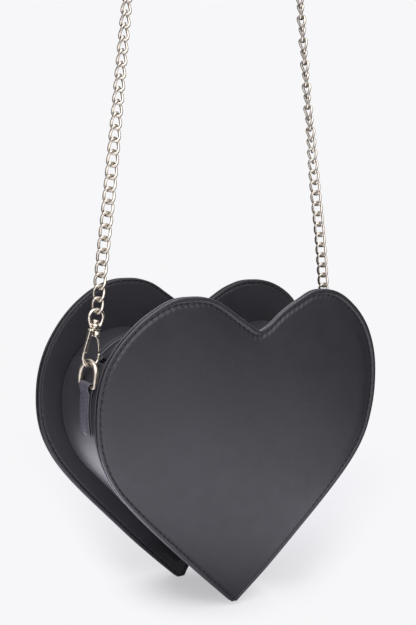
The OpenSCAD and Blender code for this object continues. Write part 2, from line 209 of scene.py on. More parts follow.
# near-black weave: painted shade for the needle holes
M_HOLE_PAINTED_SHADE = woven("needle_hole_painted_shade", 0.0015, 0.0025, 2500.0, 0.95)
M_TAPE = woven("zip_tape_weave", 0.012, 0.024, 1500.0, 0.5)
M_LINING = woven("lining_weave", 0.010, 0.020, 2200.0, 0.9)
# the stiffener shows only in the groove between the covers; its near-black is painted shade for that groove
M_BOARD_PAINTED_SHADE = woven("fibre_board_painted_shade", 0.0015, 0.003, 700.0, 0.95)
M_GOLD = metal("pale_gold", (0.74, 0.675, 0.55), 0.32)
M_RING = metal("pale_gold_ring", (0.66, 0.595, 0.485), 0.37)
M_GOLD_CHAIN = metal("pale_gold_chain", (0.56, 0.515, 0.425), 0.31)
M_STEEL = metal("spring_wire", (0.60, 0.60, 0.60), 0.25)
M_ENAMEL = metal("black_enamel", (0.05, 0.05, 0.055), 0.25)
M_TEETH = leather("zip_teeth_plastic", 0.012, 0.018, 0.32, 0.42, grain=0.05)


# ---------------------------------------------------------------- mesh help
def build(name, verts, faces, mats, body, smooth=True, face_mats=None, replaces=(), slot=None, auto=None):
    me = bpy.data.meshes.new(name)
    me.from_pydata([part(v) for v in verts], [], faces)
    me.validate()
    for mt in (mats if isinstance(mats, (list, tuple)) else [mats]):
        me.materials.append(mt)
    if face_mats is not None and len(face_mats) == len(me.polygons):
        me.polygons.foreach_set("material_index", face_mats)
    me.polygons.foreach_set("use_smooth", [smooth] * len(me.polygons))
    bm = bmesh.new()
    bm.from_mesh(me)
    bmesh.ops.recalc_face_normals(bm, faces=bm.faces)
    bm.to_mesh(me)
    bm.free()
    me.update()
    ob = bpy.data.objects.new(name, me)
    bpy.context.scene.collection.objects.link(ob)
    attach(ob, body)
    if replaces:
        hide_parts(*replaces)
    return ob


class Geo:
    """Collects several closed shapes into one mesh."""

    def __init__(self):
        self.v, self.f, self.m = [], [], []

    def add(self, verts, faces, mat=0, fm=None):
        o = len(self.v)
        self.v += [tuple(q) for q in verts]
        self.f += [tuple(i + o for i in fc) for fc in faces]
        self.m += list(fm) if fm is not None else [mat] * len(faces)

    def out(self, name, mats, body, **kw):
        return build(name, self.v, self.f, mats, body, face_mats=self.m, **kw)


def loft(loops, closed_path=False, cap=True):
    """Quads between equal closed loops of points."""
    n = len(loops[0])
    verts = [p for lp in loops for p in lp]
    faces = []
    k = len(loops)
    for i in range(k if closed_path else k - 1):
        a, b = i * n, ((i + 1) % k) * n
        for j in range(n):
            j2 = (j + 1) % n
            faces.append((a + j, a + j2, b + j2, b + j))
    if cap and not closed_path:
        faces.append(tuple(range(n))[::-1])
        faces.append(tuple((k - 1) * n + j for j in range(n)))
    return verts, faces


def dome_caps(loops, grow=0.5, steps=3):
    """Adds rounded ends to a row of loops."""
    def cen(lp):
        c = Vector((0, 0, 0))
        for q in lp:
            c += Vector(q)
        return c / len(lp)
    c0, c1 = cen(loops[0]), cen(loops[1])
    e0, e1 = cen(loops[-1]), cen(loops[-2])
    d0, d1 = (c0 - c1).normalized(), (e0 - e1).normalized()
    head, tail = [], []
    for i in range(1, steps + 1):
        a = math.pi / 2 * i / (steps + 0.35)
        s, h = math.cos(a), math.sin(a)
        head.append([c0 + (Vector(q) - c0) * s + d0 * grow * h for q in loops[0]])
        tail.append([e0 + (Vector(q) - e0) * s + d1 * grow * h for q in loops[-1]])
    return head[::-1] + loops + tail


def circle_pts(r, n, ry=None):
    ry = r if ry is None else ry
    return [(r * math.cos(2 * math.pi * i / n), ry * math.sin(2 * math.pi * i / n)) for i in range(n)]


def rrect(w, h, r, n=3):
    """Rounded rectangle section, w by h."""
    pts = []
    for cx, cy, a0 in ((w / 2 - r, h / 2 - r, 0), (-w / 2 + r, h / 2 - r, 90), (-w / 2 + r, -h / 2 + r, 180), (w / 2 - r, -h / 2 + r, 270)):
        for i in range(n + 1):
            a = math.radians(a0 + 90 * i / n)
            pts.append((cx + r * math.cos(a), cy + r * math.sin(a)))
    return pts


def sweep(path, sections, closed=False, ref=Vector((0, 1, 0)), cap=True, dome=0.0):
    """Sweeps sections (lists of (u, v)) along path; v lies along ref, u across it."""
    loops = []
    k = len(path)
    for i, p in enumerate(path):
        a = Vector(path[(i - 1) % k]) if (closed or i > 0) else Vector(p)
        b = Vector(path[(i + 1) % k]) if (closed or i < k - 1) else Vector(p)
        t = (b - a).normalized()
        v = (ref - t * ref.dot(t)).normalized()
        u = v.cross(t)
        sec = sections[i] if isinstance(sections[0][0], (list, tuple)) else sections
        loops.append([Vector(p) + u * q[0] + v * q[1] for q in sec])
    if dome and not closed:
        loops = dome_caps(loops, dome)
    return loft(loops, closed, cap)


def lathe(profile, frame_m, n=32):
    """profile: (r, h) pairs turned about the local z of frame_m. Closed at r = 0 ends."""
    loops = []
    for r, h in profile:
        loops.append([frame_m @ Vector((max(r, 1e-4) * math.cos(2 * math.pi * i / n), max(r, 1e-4) * math.sin(2 * math.pi * i / n), h)) for i in range(n)])
    return loft(loops)


def lathe_ring(profile, frame_m, n=32):
    """A closed (r, h) outline turned about local z: a washer or collar with a bore."""
    loops = []
    for i in range(n):
        a = 2 * math.pi * i / n
        loops.append([frame_m @ Vector((r * math.cos(a), r * math.sin(a), h)) for r, h in profile])
    return loft(loops, True)


# ---------------------------------------------------------------- heart outline of the panels
PW, PH, CLEFT = 210.0, 187.0, 168.0
YO, YI = 32.0, 28.0
T_COVER, T_BOARD = 1.45, 1.1
SC, ST, RC, RT = math.radians(29), math.radians(40.8), 5.0, 3.5
CEN = (0.0, 97.0)
STITCH_IN, STITCH_PITCH = 3.15, 4.1


def bez(a, b, c, d, t):
    s = 1 - t
    return tuple(s**3 * a[i] + 3 * s * s * t * b[i] + 3 * s * t * t * c[i] + t**3 * d[i] for i in (0, 1))


def panel_outline():
    cc = (0.0, CLEFT + RC)
    ct = (0.0, RT / math.cos(ST))
    pc = (cc[0] + RC * math.sin(SC), cc[1] - RC * math.cos(SC))
    pt = (ct[0] + RT * math.sin(ST), ct[1] - RT * math.cos(ST))
    side, top = (PW / 2, 127.0), (53.0, PH)
    half = []
    for i in range(7):
        a = -math.pi / 2 + ST * i / 7
        half.append((ct[0] + RT * math.cos(a), ct[1] + RT * math.sin(a)))
    for i in range(56):
        half.append(bez(pt, (pt[0] + 80, pt[1] + 69), (side[0], side[1] - 42), side, i / 56))
    for i in range(48):
        half.append(bez(side, (side[0], side[1] + 35.5), (top[0] + 23, top[1]), top, i / 48))
    for i in range(30):
        half.append(bez(top, (top[0] - 20.5, top[1]), (pc[0] + 32.6, pc[1] + 18.1), pc, i / 30))
    for i in range(8):
        a = -math.pi / 2 + SC * (1 - i / 7)
        half.append((cc[0] + RC * math.cos(a), cc[1] + RC * math.sin(a)))
    left = [(-p[0], p[1]) for p in half[1:-1]][::-1]
    return half + left


OUT = panel_outline()
NO = len(OUT)
M = 560

# How far each hand-cut panel strays from the drawn heart, outward in mm, by
# outline point: 0 is the tip, 62 the right side, 110 the right lobe's top,
# 144 the cleft, then down the left side.
STRAY = {
    "front": [(0, -1.7), (5, -1.2), (12, 1.2), (20, 1.5), (30, 1.8), (36, 2.0), (42, 2.1), (48, 1.7), (54, 0.8), (60, 0.4), (66, -0.1), (72, 0.1), (78, 0.4),
              (84, 0.75), (90, 0.8), (96, 0.95), (102, 1.5), (108, 1.8), (114, 1.7), (120, 0.6), (126, 0.0), (148, 0.0), (160, -0.2), (174, -0.8),
              (180, -0.9), (186, -1.2), (192, -1.6), (198, -2.2), (204, -1.9), (210, -1.25), (216, 0.0), (222, 1.1), (228, 1.1), (236, 0.8), (246, 0.3), (258, 0.1), (264, -0.4), (272, -0.5), (282, -0.5), (288, -0.9), (294, -1.6), (296, -1.7)],
    "back": [(0, 1.7), (8, 1.2), (20, 0.3), (60, 0.0), (90, 0.0), (96, -0.4), (102, -0.75), (108, -0.75), (114, -0.6), (126, -0.65), (132, -0.1), (138, -0.5),
             (144, -0.2), (162, 0.3), (168, 0.75), (174, 0.9), (180, 1.3), (186, 1.1), (192, 0.8), (198, 0.4), (204, 0.0), (216, -0.2), (222, 0.1),
             (234, 0.55), (246, 0.55), (258, 0.4), (270, 0.4), (276, 0.7), (282, 1.4), (288, 1.9), (296, 1.9)],
}


# The front panel's cleft is cut lower, rounder and a little to the right: mm right and mm up
CLEFT_X = [(0, 0), (110, 0), (118, 0.15), (121, 0.25), (124, 0.3), (127, 0.3), (130, 0.19), (133, 0.1), (136, 0.25), (139, 0.79), (142, 0.58), (145, 0.53), (148, 0.58), (151, 0.65), (154, 0.7),
           (157, 0.59), (160, 0.41), (163, 0.31), (166, 0.2), (174, 0), (296, 0)]
CLEFT_Z = [(0, 0), (110, 0), (118, -0.1), (121, -0.6), (124, -1.06), (127, -1.35), (130, -1.46), (133, -1.67), (136, -2.33), (139, -3.64), (142, -2.93), (145, -2.28), (148, -1.72), (151, -1.32),
           (154, -1.11), (157, -0.82), (160, -0.59), (163, -0.29), (166, -0.09), (174, 0), (296, 0)]

# How far in from the edge each panel is stitched, by outline point
SEAM_AT = {
    "front": [(0, 1.8), (12, 2.5), (36, 3.2), (60, 3.6), (84, 3.6), (108, 3.4), (132, 2.7), (146, 2.7), (158, 3.5), (180, 3.1), (186, 3.4), (192, 3.1), (198, 2.6), (204, 2.5),
              (210, 2.3), (216, 2.4), (222, 2.5), (228, 2.3), (234, 2.1), (252, 2.0), (264, 2.3), (276, 2.7), (288, 2.2), (296, 1.8)],
    "back": [(0, 2.0), (60, 2.5), (146, 2.2), (160, 1.9), (174, 1.7), (188, 1.7), (202, 1.6), (230, 1.6), (244, 2.0), (258, 2.4), (272, 2.4), (286, 2.3), (296, 2.0)],
}


# How strongly the leather swells inside the seam, by outline point
SWELL = [(0, 0.45), (30, 0.55), (60, 0.40), (84, 0.35), (108, 0.45), (120, 0.85), (132, 1.05), (140, 0.9), (146, 0.75), (152, 0.9), (160, 0.85), (174, 0.85), (186, 1.05), (198, 1.15), (216, 1.15), (230, 0.6),
         (244, 0.4), (272, 0.45), (296, 0.45)]


# How proud the strip outside the seam stands
RIM_AT = [(0, 0.7), (36, 0.9), (58, 1.3), (74, 1.25), (84, 0.35), (110, 0.2), (122, 0.4), (144, 0.7), (180, 0.5), (198, 0.7), (296, 0.7)]


# The front panel's inner cover is trimmed back in the cleft
TRIM_AT = [(0, 0), (116, 0), (126, 0.3), (134, 0.8), (142, 0.9), (148, 0.6), (156, 0.1), (162, 0), (296, 0)]


def by_point(t, i):
    """Smooth value between the table's points, going round the heart."""
    n = len(t) - 1
    for j in range(n):
        (a, u), (b, w) = t[j], t[j + 1]
        if i <= b:
            p, q = t[j - 1] if j else (t[n - 1][0] - NO, t[n - 1][1]), t[j + 2] if j + 2 <= n else (t[1][0] + NO, t[1][1])
            l = b - a
            m0, m1 = (w - p[1]) / (b - p[0]) * l, (q[1] - u) / (q[0] - a) * l
            k = (i - a) / l
            return (2 * k**3 - 3 * k * k + 1) * u + (k**3 - 2 * k * k + k) * m0 + (3 * k * k - 2 * k**3) * w + (k**3 - k * k) * m1
    return t[n][1]


def stray(which, i):
    return by_point(STRAY[which], i)


def even_outline(which):
    """The outline with its stray, as M even points with their place on the drawn heart."""
    pts = []
    for i in range(NO):
        a, b = OUT[(i - 1) % NO], OUT[(i + 1) % NO]
        tx, tz = b[0] - a[0], b[1] - a[1]
        l = math.hypot(tx, tz)
        w = stray(which, i)
        cx, cz = (by_point(CLEFT_X, i), by_point(CLEFT_Z, i)) if which == "front" else (0.0, 0.0)
        pts.append((OUT[i][0] + tz / l * w + cx, OUT[i][1] - tx / l * w + cz))
    dense = []
    for i in range(NO):
        p0, p1, p2, p3 = (pts[(i + k) % NO] for k in (-1, 0, 1, 2))
        for j in range(5):
            t = j / 5
            q = tuple(0.5 * (2 * p1[k] + (p2[k] - p0[k]) * t + (2 * p0[k] - 5 * p1[k] + 4 * p2[k] - p3[k]) * t * t + (3 * p1[k] - p0[k] - 3 * p2[k] + p3[k]) * t**3) for k in (0, 1))
            dense.append((q, i + t))
    acc = [0.0]
    n = len(dense)
    for i in range(n):
        a, b = dense[i][0], dense[(i + 1) % n][0]
        acc.append(acc[-1] + math.hypot(b[0] - a[0], b[1] - a[1]))
    res, k = [], 0
    for i in range(M):
        s = acc[-1] * i / M
        while acc[k + 1] < s:
            k += 1
        u = (s - acc[k]) / max(1e-9, acc[k + 1] - acc[k])
        a, b = dense[k][0], dense[(k + 1) % n][0]
        res.append((a[0] + (b[0] - a[0]) * u, a[1] + (b[1] - a[1]) * u, dense[k][1] + u / 5))
    return res


class Panel:
    """Outline of one panel, the ways inward from it, its stitch line and its crown."""

    def __init__(self, which):
        self.which = which
        self.out = even_outline(which)
        self.step = []
        for i in range(M):
            a, b = self.out[(i - 2) % M], self.out[(i + 2) % M]
            tx, tz = b[0] - a[0], b[1] - a[1]
            l = math.hypot(tx, tz)
            nx, nz = -tz / l, tx / l
            dx, dz = CEN[0] - self.out[i][0], CEN[1] - self.out[i][1]
            dl = math.hypot(dx, dz)
            dx, dz = dx / dl, dz / dl
            c = max(0.55, nx * dx + nz * dz)
            self.step.append([dx / c, dz / c])
        for _ in range(14):
            self.step = [[(self.step[(i - 1) % M][k] + 2 * self.step[i][k] + self.step[(i + 1) % M][k]) / 4 for k in (0, 1)] for i in range(M)]
        self.seam = self.ring(STITCH_IN, True)
        acc = [0.0]
        for i in range(M):
            a, b = self.seam[i], self.seam[(i + 1) % M]
            acc.append(acc[-1] + math.hypot(b[0] - a[0], b[1] - a[1]))
        self.count = round(acc[-1] / STITCH_PITCH)
        self.phase = [acc[i] / acc[-1] * self.count for i in range(M + 1)]
        self.swell = [by_point(SWELL, self.out[i][2] % NO) for i in range(M)]
        self.proud = [by_point(RIM_AT, self.out[i][2] % NO) for i in range(M)]
        self.crown = self.solve_crown()

    def narrow(self, i):
        """The seam doesn't keep an even distance from the edge."""
        return by_point(SEAM_AT[self.which], self.out[i][2] % NO) / STITCH_IN

    def ring(self, d, seam=False):
        res = []
        for i in range(M):
            k = d * (self.narrow(i) if d <= 6.0 else 1.0 + (self.narrow(i) - 1.0) * max(0.0, 1 - (d - 6.0) / 8.0))
            res.append((self.out[i][0] + self.step[i][0] * k, self.out[i][1] + self.step[i][1] * k))
        return res

    def solve_crown(self):
        """A skin stretched over soft padding: 1 in the middle, 0 at the seam."""
        self.g0, self.gs = (-112.0, -6.0), 2.0
        nx, nz = 113, 101
        poly = self.ring(6.2)
        inside = np.zeros((nz, nx), bool)
        xs = self.g0[0] + self.gs * np.arange(nx)
        for r in range(nz):
            z = self.g0[1] + self.gs * r
            cuts = []
            for i in range(M):
                a, b = poly[i], poly[(i + 1) % M]
                if (a[1] > z) != (b[1] > z):
                    cuts.append(a[0] + (z - a[1]) * (b[0] - a[0]) / (b[1] - a[1]))
            cuts.sort()
            for lo, hi in zip(cuts[::2], cuts[1::2]):
                inside[r] |= (xs > lo) & (xs < hi)
        h = np.zeros((nz, nx))
        k = (self.gs / 24.0) ** 2
        for _ in range(900):
            p = np.pad(h, 1)
            h = np.where(inside, (p[:-2, 1:-1] + p[2:, 1:-1] + p[1:-1, :-2] + p[1:-1, 2:] + k) / (4 + k), 0.0)
        for _ in range(4):
            p = np.pad(h, 1, mode="edge")
            h = (p[:-2, 1:-1] + p[2:, 1:-1] + p[1:-1, :-2] + p[1:-1, 2:] + 4 * p[1:-1, 1:-1]) / 8
        return h

    def crown_at(self, x, z):
        fx, fz = (x - self.g0[0]) / self.gs, (z - self.g0[1]) / self.gs
        i, j = int(fx), int(fz)
        if i < 0 or j < 0 or i >= self.crown.shape[1] - 1 or j >= self.crown.shape[0] - 1:
            return 0.0
        u, v = fx - i, fz - j
        c = self.crown
        return float(c[j, i] * (1 - u) * (1 - v) + c[j, i + 1] * u * (1 - v) + c[j + 1, i] * (1 - u) * v + c[j + 1, i + 1] * u * v)


PANELS = {"front": Panel("front"), "back": Panel("back")}
RINGS_EDGE = [0.95, 1.4, 1.9, 2.3, 2.6, 2.88, 3.15, 3.42, 3.7, 4.0, 4.4, 4.9, 5.5, 6.3, 7.4, 8.8, 10.8, 13.5, 17.0, 21.0]


def smooth(u):
    u = max(0.0, min(1.0, u))
    return u * u * (3 - 2 * u)


def curl(z):
    """The back panel's tip leans to the front."""
    return -9.4 * ((26.0 - z) / 26.0) ** 1.6 if z < 26.0 else 0.0


def seam_height(d, ph, valley, shoulder, swell=1.0, proud=1.0):
    """Height of the leather across and along the seam: groove, needle holes, puckers, shoulder."""
    hole = math.exp(-(min(ph, 1 - ph) * STITCH_PITCH / 0.6) ** 2)
    v = valley * math.exp(-((d - STITCH_IN) / 0.6) ** 2) * (0.7 + 1.0 * hole)
    pucker = shoulder * swell * (0.30 * math.exp(-((d - 4.5) / 0.7) ** 2) + 0.07 * math.exp(-((d - 2.2) / 0.5) ** 2)) * math.cos(2 * math.pi * (ph - 0.5))
    rim = 0.24 * proud * (smooth((d - 0.55) / 1.4) - smooth((d - 2.0) / 0.8))
    return rim - v + pucker + shoulder * (0.75 * swell * smooth((d - 3.3) / 2.2) + (1.0 - 0.75 * swell) * smooth((d - 4.0) / 9.0))


def cover(name, which, y_face, y_back, node, crown, valley, shoulder, mat):
    """One leather cover. y_face is the shown face, y_back the glued one."""
    s = 1.0 if y_face > y_back else -1.0
    pn = PANELS[which]
    bend = curl if which == "back" else (lambda z: 0.0)
    verts, faces, fm = [], [], []
    t = abs(y_face - y_back)
    prof = [(6.0, -t), (1.3, -t), (0.45, -t), (0.16, -t + 0.1), (0.03, -t + 0.32), (0.0, -0.72), (0.05, -0.44), (0.2, -0.19), (0.42, -0.05), (0.68, 0.0)]
    n_rim = len(prof)
    trim = [by_point(TRIM_AT, o[2] % NO) if node == "front_cover_inner" else 0.0 for o in pn.out]

    def ring(d):
        return [(x + pn.step[i][0] * trim[i] * max(0.0, 1 - d / 2.4), z + pn.step[i][1] * trim[i] * max(0.0, 1 - d / 2.4)) for i, (x, z) in enumerate(pn.ring(d))]

    for d, h in prof:
        for x, z in ring(d):
            verts.append((x, y_face + s * h + bend(z), z))
    for d in RINGS_EDGE:
        for i, (x, z) in enumerate(ring(d)):
            h = seam_height(d, pn.phase[i] % 1.0, valley, shoulder, pn.swell[i], pn.proud[i])
            if d > 5.0:
                q = Vector((x / 46.0, y_face / 60.0, z / 46.0))
                k = smooth((d - 5.0) / 10.0)
                h += crown * pn.crown_at(x, z) + k * 0.16 * noise.noise(q)
            verts.append((x, y_face + s * h + bend(z), z))
    base = pn.ring(RINGS_EDGE[-1])
    m_in = 14
    for k in range(1, m_in):
        f = 1 - k / m_in
        for p in base:
            x, z = CEN[0] + (p[0] - CEN[0]) * f, CEN[1] + (p[1] - CEN[1]) * f
            h = shoulder + crown * pn.crown_at(x, z) + 0.16 * noise.noise(Vector((x / 46.0, y_face / 60.0, z / 46.0)))
            verts.append((x, y_face + s * h + bend(z), z))
    nr = n_rim + len(RINGS_EDGE) + m_in - 1
    for r in range(nr - 1):
        for j in range(M):
            j2 = (j + 1) % M
            faces.append((r * M + j, r * M + j2, (r + 1) * M + j2, (r + 1) * M + j))
            fm.append(1 if 2 <= r < n_rim - 2 else 0)
    verts.append((CEN[0], y_face + s * (shoulder + crown * pn.crown_at(*CEN)), CEN[1]))
    c = len(verts) - 1
    for j in range(M):
        faces.append(((nr - 1) * M + j, (nr - 1) * M + (j + 1) % M, c))
        fm.append(0)
    prev = list(range(M))
    for k in range(1, 4):
        f = 1 - k / 4
        cur = []
        for j in range(M):
            x, y, z = verts[j]
            x, z = CEN[0] + (x - CEN[0]) * f, CEN[1] + (z - CEN[1]) * f
            verts.append((x, y_back + bend(z), z))
            cur.append(len(verts) - 1)
        for j in range(M):
            j2 = (j + 1) % M
            faces.append((prev[j2], prev[j], cur[j], cur[j2]))
            fm.append(0)
        prev = cur
    verts.append((CEN[0], y_back, CEN[1]))
    c = len(verts) - 1
    for j in range(M):
        faces.append((prev[(j + 1) % M], prev[j], c))
        fm.append(0)
    # the back panel's edges get the darker copy of the edge paint: painted shade
    edge = M_EDGE_BACK_PAINTED_SHADE if name.startswith("back") else M_EDGE
    return build(name, verts, faces, [mat, edge], "bag", face_mats=fm, replaces=(node,), slot="leather_panel")


def stiffener(name, which, y0, y1, node):
    pn = PANELS[which]
    bend = curl if which == "back" else (lambda z: 0.0)
    loops = []
    for f, y in ((0.0, y0), (0.35, y0), (0.7, y0), (1.0, y0), (1.0, y1), (0.7, y1), (0.35, y1), (0.0, y1)):
        lp = []
        for x, z in pn.ring(2.4):
            x, z = CEN[0] + (x - CEN[0]) * max(f, 0.004), CEN[1] + (z - CEN[1]) * max(f, 0.004)
            lp.append((x, y + bend(z), z))
        loops.append(lp)
    v, f = loft(loops)
    # near-black board: painted shade in the groove between the covers
    build(name, v, f, [M_BOARD_PAINTED_SHADE], "bag", replaces=(node,), slot="board")


cover("front_panel_leather", "front", -YO, -YO + T_COVER, "front_cover_outer", 2.1, 0.50, 0.95, M_PANEL)
cover("front_panel_inner_leather", "front", -YI, -YI - T_COVER, "front_cover_inner", 0.0, 0.30, 0.12, M_INNER)
cover("back_panel_leather", "back", YO, YO - T_COVER, "back_cover_outer", 2.1, 0.50, 0.95, M_PANEL)
cover("back_panel_inner_leather", "back", YI, YI + T_COVER, "back_cover_inner", 0.0, 0.30, 0.12, M_INNER)
stiffener("front_stiffener", "front", -YO + T_COVER + 0.02, -YI - T_COVER - 0.02, "front_board")
stiffener("back_stiffener", "back", YI + T_COVER + 0.02, YO - T_COVER - 0.02, "back_board")


# ---------------------------------------------------------------- stitching
def resample(pts, pitch, closed=True):
    """Even points along a polyline with their direction."""
    seg = []
    total = 0.0
    n = len(pts)
    for i in range(n if closed else n - 1):
        a, b = Vector(pts[i]), Vector(pts[(i + 1) % n])
        l = (b - a).length
        if l > 1e-6:
            seg.append((a, b, l, total))
            total += l
    count = max(1, round(total / pitch)) if closed else max(1, int(total / pitch))
    step = total / count if closed else pitch
    out = []
    k = 0
    start = 0.0 if closed else (total - step * (count - 1)) / 2
    for i in range(count):
        s = start + i * step
        while k < len(seg) - 1 and s > seg[k][3] + seg[k][2]:
            k += 1
        a, b, l, s0 = seg[k]
        out.append((a.lerp(b, (s - s0) / l), (b - a) / l))
    return out


def stitch(geo, p, t, n, length=2.7, r=0.30, slant=0.12, rise=0.10, dive=0.32):
    """One stitch: a short bent thread lying along t on a face with normal n."""
    side = n.cross(t)
    d = (t + side * slant).normalized()
    side = n.cross(d)
    loops = []
    k = 7
    for i in range(k):
        u = -1 + 2 * i / (k - 1)
        h = rise * (1 - u * u) - dive * abs(u) ** 5
        rr = r * (1 - 0.35 * abs(u) ** 4)
        c = p + d * (u * length / 2) + n * h
        loops.append([c + side * (rr * math.cos(2 * math.pi * j / 8)) + n * (rr * 0.8 * math.sin(2 * math.pi * j / 8)) for j in range(8)])
    v, f = loft(loops)
    geo.add(v, f)


def needle_hole_painted_shade(geo, p, n, t, r=0.55):
    """A small near-black disc at a needle hole: painted shade standing in for the dark mouth of the hole."""
    side = n.cross(t)
    loops = []
    for k, h in ((0.25, -0.10), (0.8, -0.06), (1.0, 0.0), (0.8, 0.05), (0.25, 0.07)):
        loops.append([p + n * h + t * (r * k * math.cos(2 * math.pi * j / 10)) + side * (r * k * math.sin(2 * math.pi * j / 10)) for j in range(10)])
    v, f = loft(loops)
    geo.add(v, f, 1)


def panel_stitches(name, which, y, s, node, base, hole_shade_at):
    geo = Geo()
    pn = PANELS[which]
    bend = curl if which == "back" else (lambda z: 0.0)
    nrm = Vector((0, s, 0))

    def at(ph):
        ph %= pn.count
        lo, hi = 0, M
        while hi - lo > 1:
            mid = (lo + hi) // 2
            if pn.phase[mid] <= ph:
                lo = mid
            else:
                hi = mid
        u = (ph - pn.phase[lo]) / (pn.phase[lo + 1] - pn.phase[lo])
        a, b = pn.seam[lo], pn.seam[(lo + 1) % M]
        x, z = a[0] + (b[0] - a[0]) * u, a[1] + (b[1] - a[1]) * u
        return Vector((x, y + bend(z), z))

    rnd = random.Random(11)
    for i in range(pn.count):
        p, q0, q1 = at(i + 0.5), at(i), at(i + 1)
        t = (q1 - q0).normalized()
        stitch(geo, p + nrm * base, t, nrm, 3.1 + rnd.uniform(-0.12, 0.12), 0.31, (0.14 + rnd.uniform(-0.05, 0.05)) * s, 0.14, 0.42)
        # a near-black disc of painted shade at each needle hole
        needle_hole_painted_shade(geo, q0 + nrm * hole_shade_at, nrm, t)
    kw = dict(slot="thread")
    if node:
        kw["replaces"] = (node,)
    return geo.out(name, [M_THREAD, M_HOLE_PAINTED_SHADE], "bag", **kw)


panel_stitches("front_panel_stitches", "front", -YO, -1.0, "front_stitching", -0.26, -0.50)
panel_stitches("back_panel_stitches", "back", YO, 1.0, "back_stitching", -0.26, -0.50)
panel_stitches("front_inner_stitches", "front", -YI, 1.0, None, -0.20, -0.36)
panel_stitches("back_inner_stitches", "back", YI, -1.0, None, -0.20, -0.36)


# ---------------------------------------------------------------- gusset
G_LOBE, LR = (54.0, 123.0), 37.5
G_SIDE = (29.5, 123.0)
SR = G_LOBE[0] + LR - G_SIDE[0]
G_TIP, TR = (0.0, 22.0), 8.0
DIP_R = 60.0
DIP_Z = G_LOBE[1] + math.sqrt((LR + DIP_R) ** 2 - G_LOBE[0] ** 2)
A_DIP = 90 + math.degrees(math.asin(G_LOBE[0] / (LR + DIP_R)))
vs = (G_TIP[0] - G_SIDE[0], G_TIP[1] - G_SIDE[1])
A_SIDE = math.degrees(math.atan2(vs[1], vs[0])) + math.degrees(math.acos((SR - TR) / math.hypot(*vs)))
ZA_L, ZA_R = 36.0, 50.0


def arc(c, r, a0, a1, n, mirror=False):
    out = []
    for i in range(n + 1):
        a = math.radians(a0 + (a1 - a0) * i / n)
        nx, nz = math.cos(a), math.sin(a)
        x = c[0] + r * nx
        out.append((-x if mirror else x, c[1] + r * nz, -nx if mirror else nx, nz))
    return out


def top_path(ar, al):
    """(x, z, outward normal) over the top from the right shoulder to the left."""
    a = arc(G_LOBE, LR, ar, A_DIP, 40)
    d = [(x, z, -nx, -nz) for x, z, nx, nz in arc((0, DIP_Z), DIP_R, A_DIP - 180, -A_DIP, 36)]
    c = arc(G_LOBE, LR, A_DIP, al, 40, True)
    return a + d[1:-1] + c


def low_path(al, ar):
    right_half = arc(G_TIP, TR, -90, A_SIDE, 8)[1:] + arc(G_SIDE, SR, A_SIDE, 0, 30)[1:] + arc(G_LOBE, LR, 0, ar, 22)[1:]
    left_half = arc(G_TIP, TR, -90, A_SIDE, 8)[1:] + arc(G_SIDE, SR, A_SIDE, 0, 30)[1:] + arc(G_LOBE, LR, 0, al, 22)[1:]
    left = [(-x, z, -nx, nz) for x, z, nx, nz in left_half][::-1]
    return left + [(0.0, G_TIP[1] - TR, 0.0, -1.0)] + right_half


def across(path, section, wob=0.0):
    """Loops of a section [(y, out)] along a path."""
    loops = []
    for i, (x, z, nx, nz) in enumerate(path):
        lp = []
        for y, o in section:
            w = wob * noise.noise(Vector((x / 28.0, y / 22.0, z / 28.0))) if o > -0.9 else 0.0
            zz = z + nz * (o + w)
            lp.append(Vector((x + nx * (o + w), y + curl(zz) * max(0.0, (y + 28.0) / 56.0), zz)))
        loops.append(lp)
    return loops


def band_section():
    half = [(28.0, -1.35), (27.75, -1.05), (27.3, -0.7), (26.6, -0.36), (25.5, -0.1), (23.8, 0.08), (21.0, 0.2), (17.0, 0.3), (11.0, 0.4), (5.0, 0.45), (0.0, 0.47)]
    outer = [(-y, o) for y, o in half] + half[::-1][1:]
    return outer + [(27.9, -1.4), (-27.9, -1.4)]


g_band = Geo()
v, f = loft(across(low_path(ZA_L + 0.6, ZA_R + 0.6), band_section(), 0.35))
g_band.add(v, f)
g_band.out("gusset_leather_band", [M_GUSSET], "bag", replaces=("gusset_band",), slot="leather_gusset")


LIP, LIP_END = 4.9, 2.1


def strip_section(s, lip):
    k = lip
    pts = [(28.0, -1.35), (27.75, -1.05), (27.3, -0.7), (26.6, -0.36), (25.5, -0.12), (23.8, 0.04), (19.8, 0.12), (15.0, 0.16),
           (10.0, 0.16), (k + 2.6, 0.14), (k + 2.25, 0.02), (k + 1.9, 0.13), (k + 1.0, 0.14), (k + 0.35, 0.06), (k + 0.05, -0.12), (k, -0.4), (k + 0.1, -0.9),
           (k + 0.6, -1.4), (27.9, -1.4)]
    return [(y * s, o) for y, o in pts]


def lip_at(ar):
    """The zip's lips draw in over the last few millimetres at each end."""
    return LIP + (LIP_END - LIP) * smooth((4.9 - ar) / 0.8)


tp = top_path(ZA_R, ZA_L)
from_end = []
for x, z, nx, nz in tp:
    a_here = math.degrees(math.atan2(z - G_LOBE[1], abs(x) - G_LOBE[0])) if abs(x) > 30 else 90.0
    from_end.append(a_here - (ZA_R if x > 0 else ZA_L) - 2.6)
for nm, s, node in (("gusset_strip_front", -1.0, "gusset_top_front"), ("gusset_strip_back", 1.0, "gusset_top_back")):
    loops = []
    for st, fe in zip(tp, from_end):
        loops.append(across([st], strip_section(s, lip_at(fe)), 0.22)[0])
    v, f = loft(loops)
    # lighter strip leather: painted light
    build(nm, v, f, [M_STRIP_PAINTED_LIGHT], "bag", replaces=(node,), slot="leather_gusset")

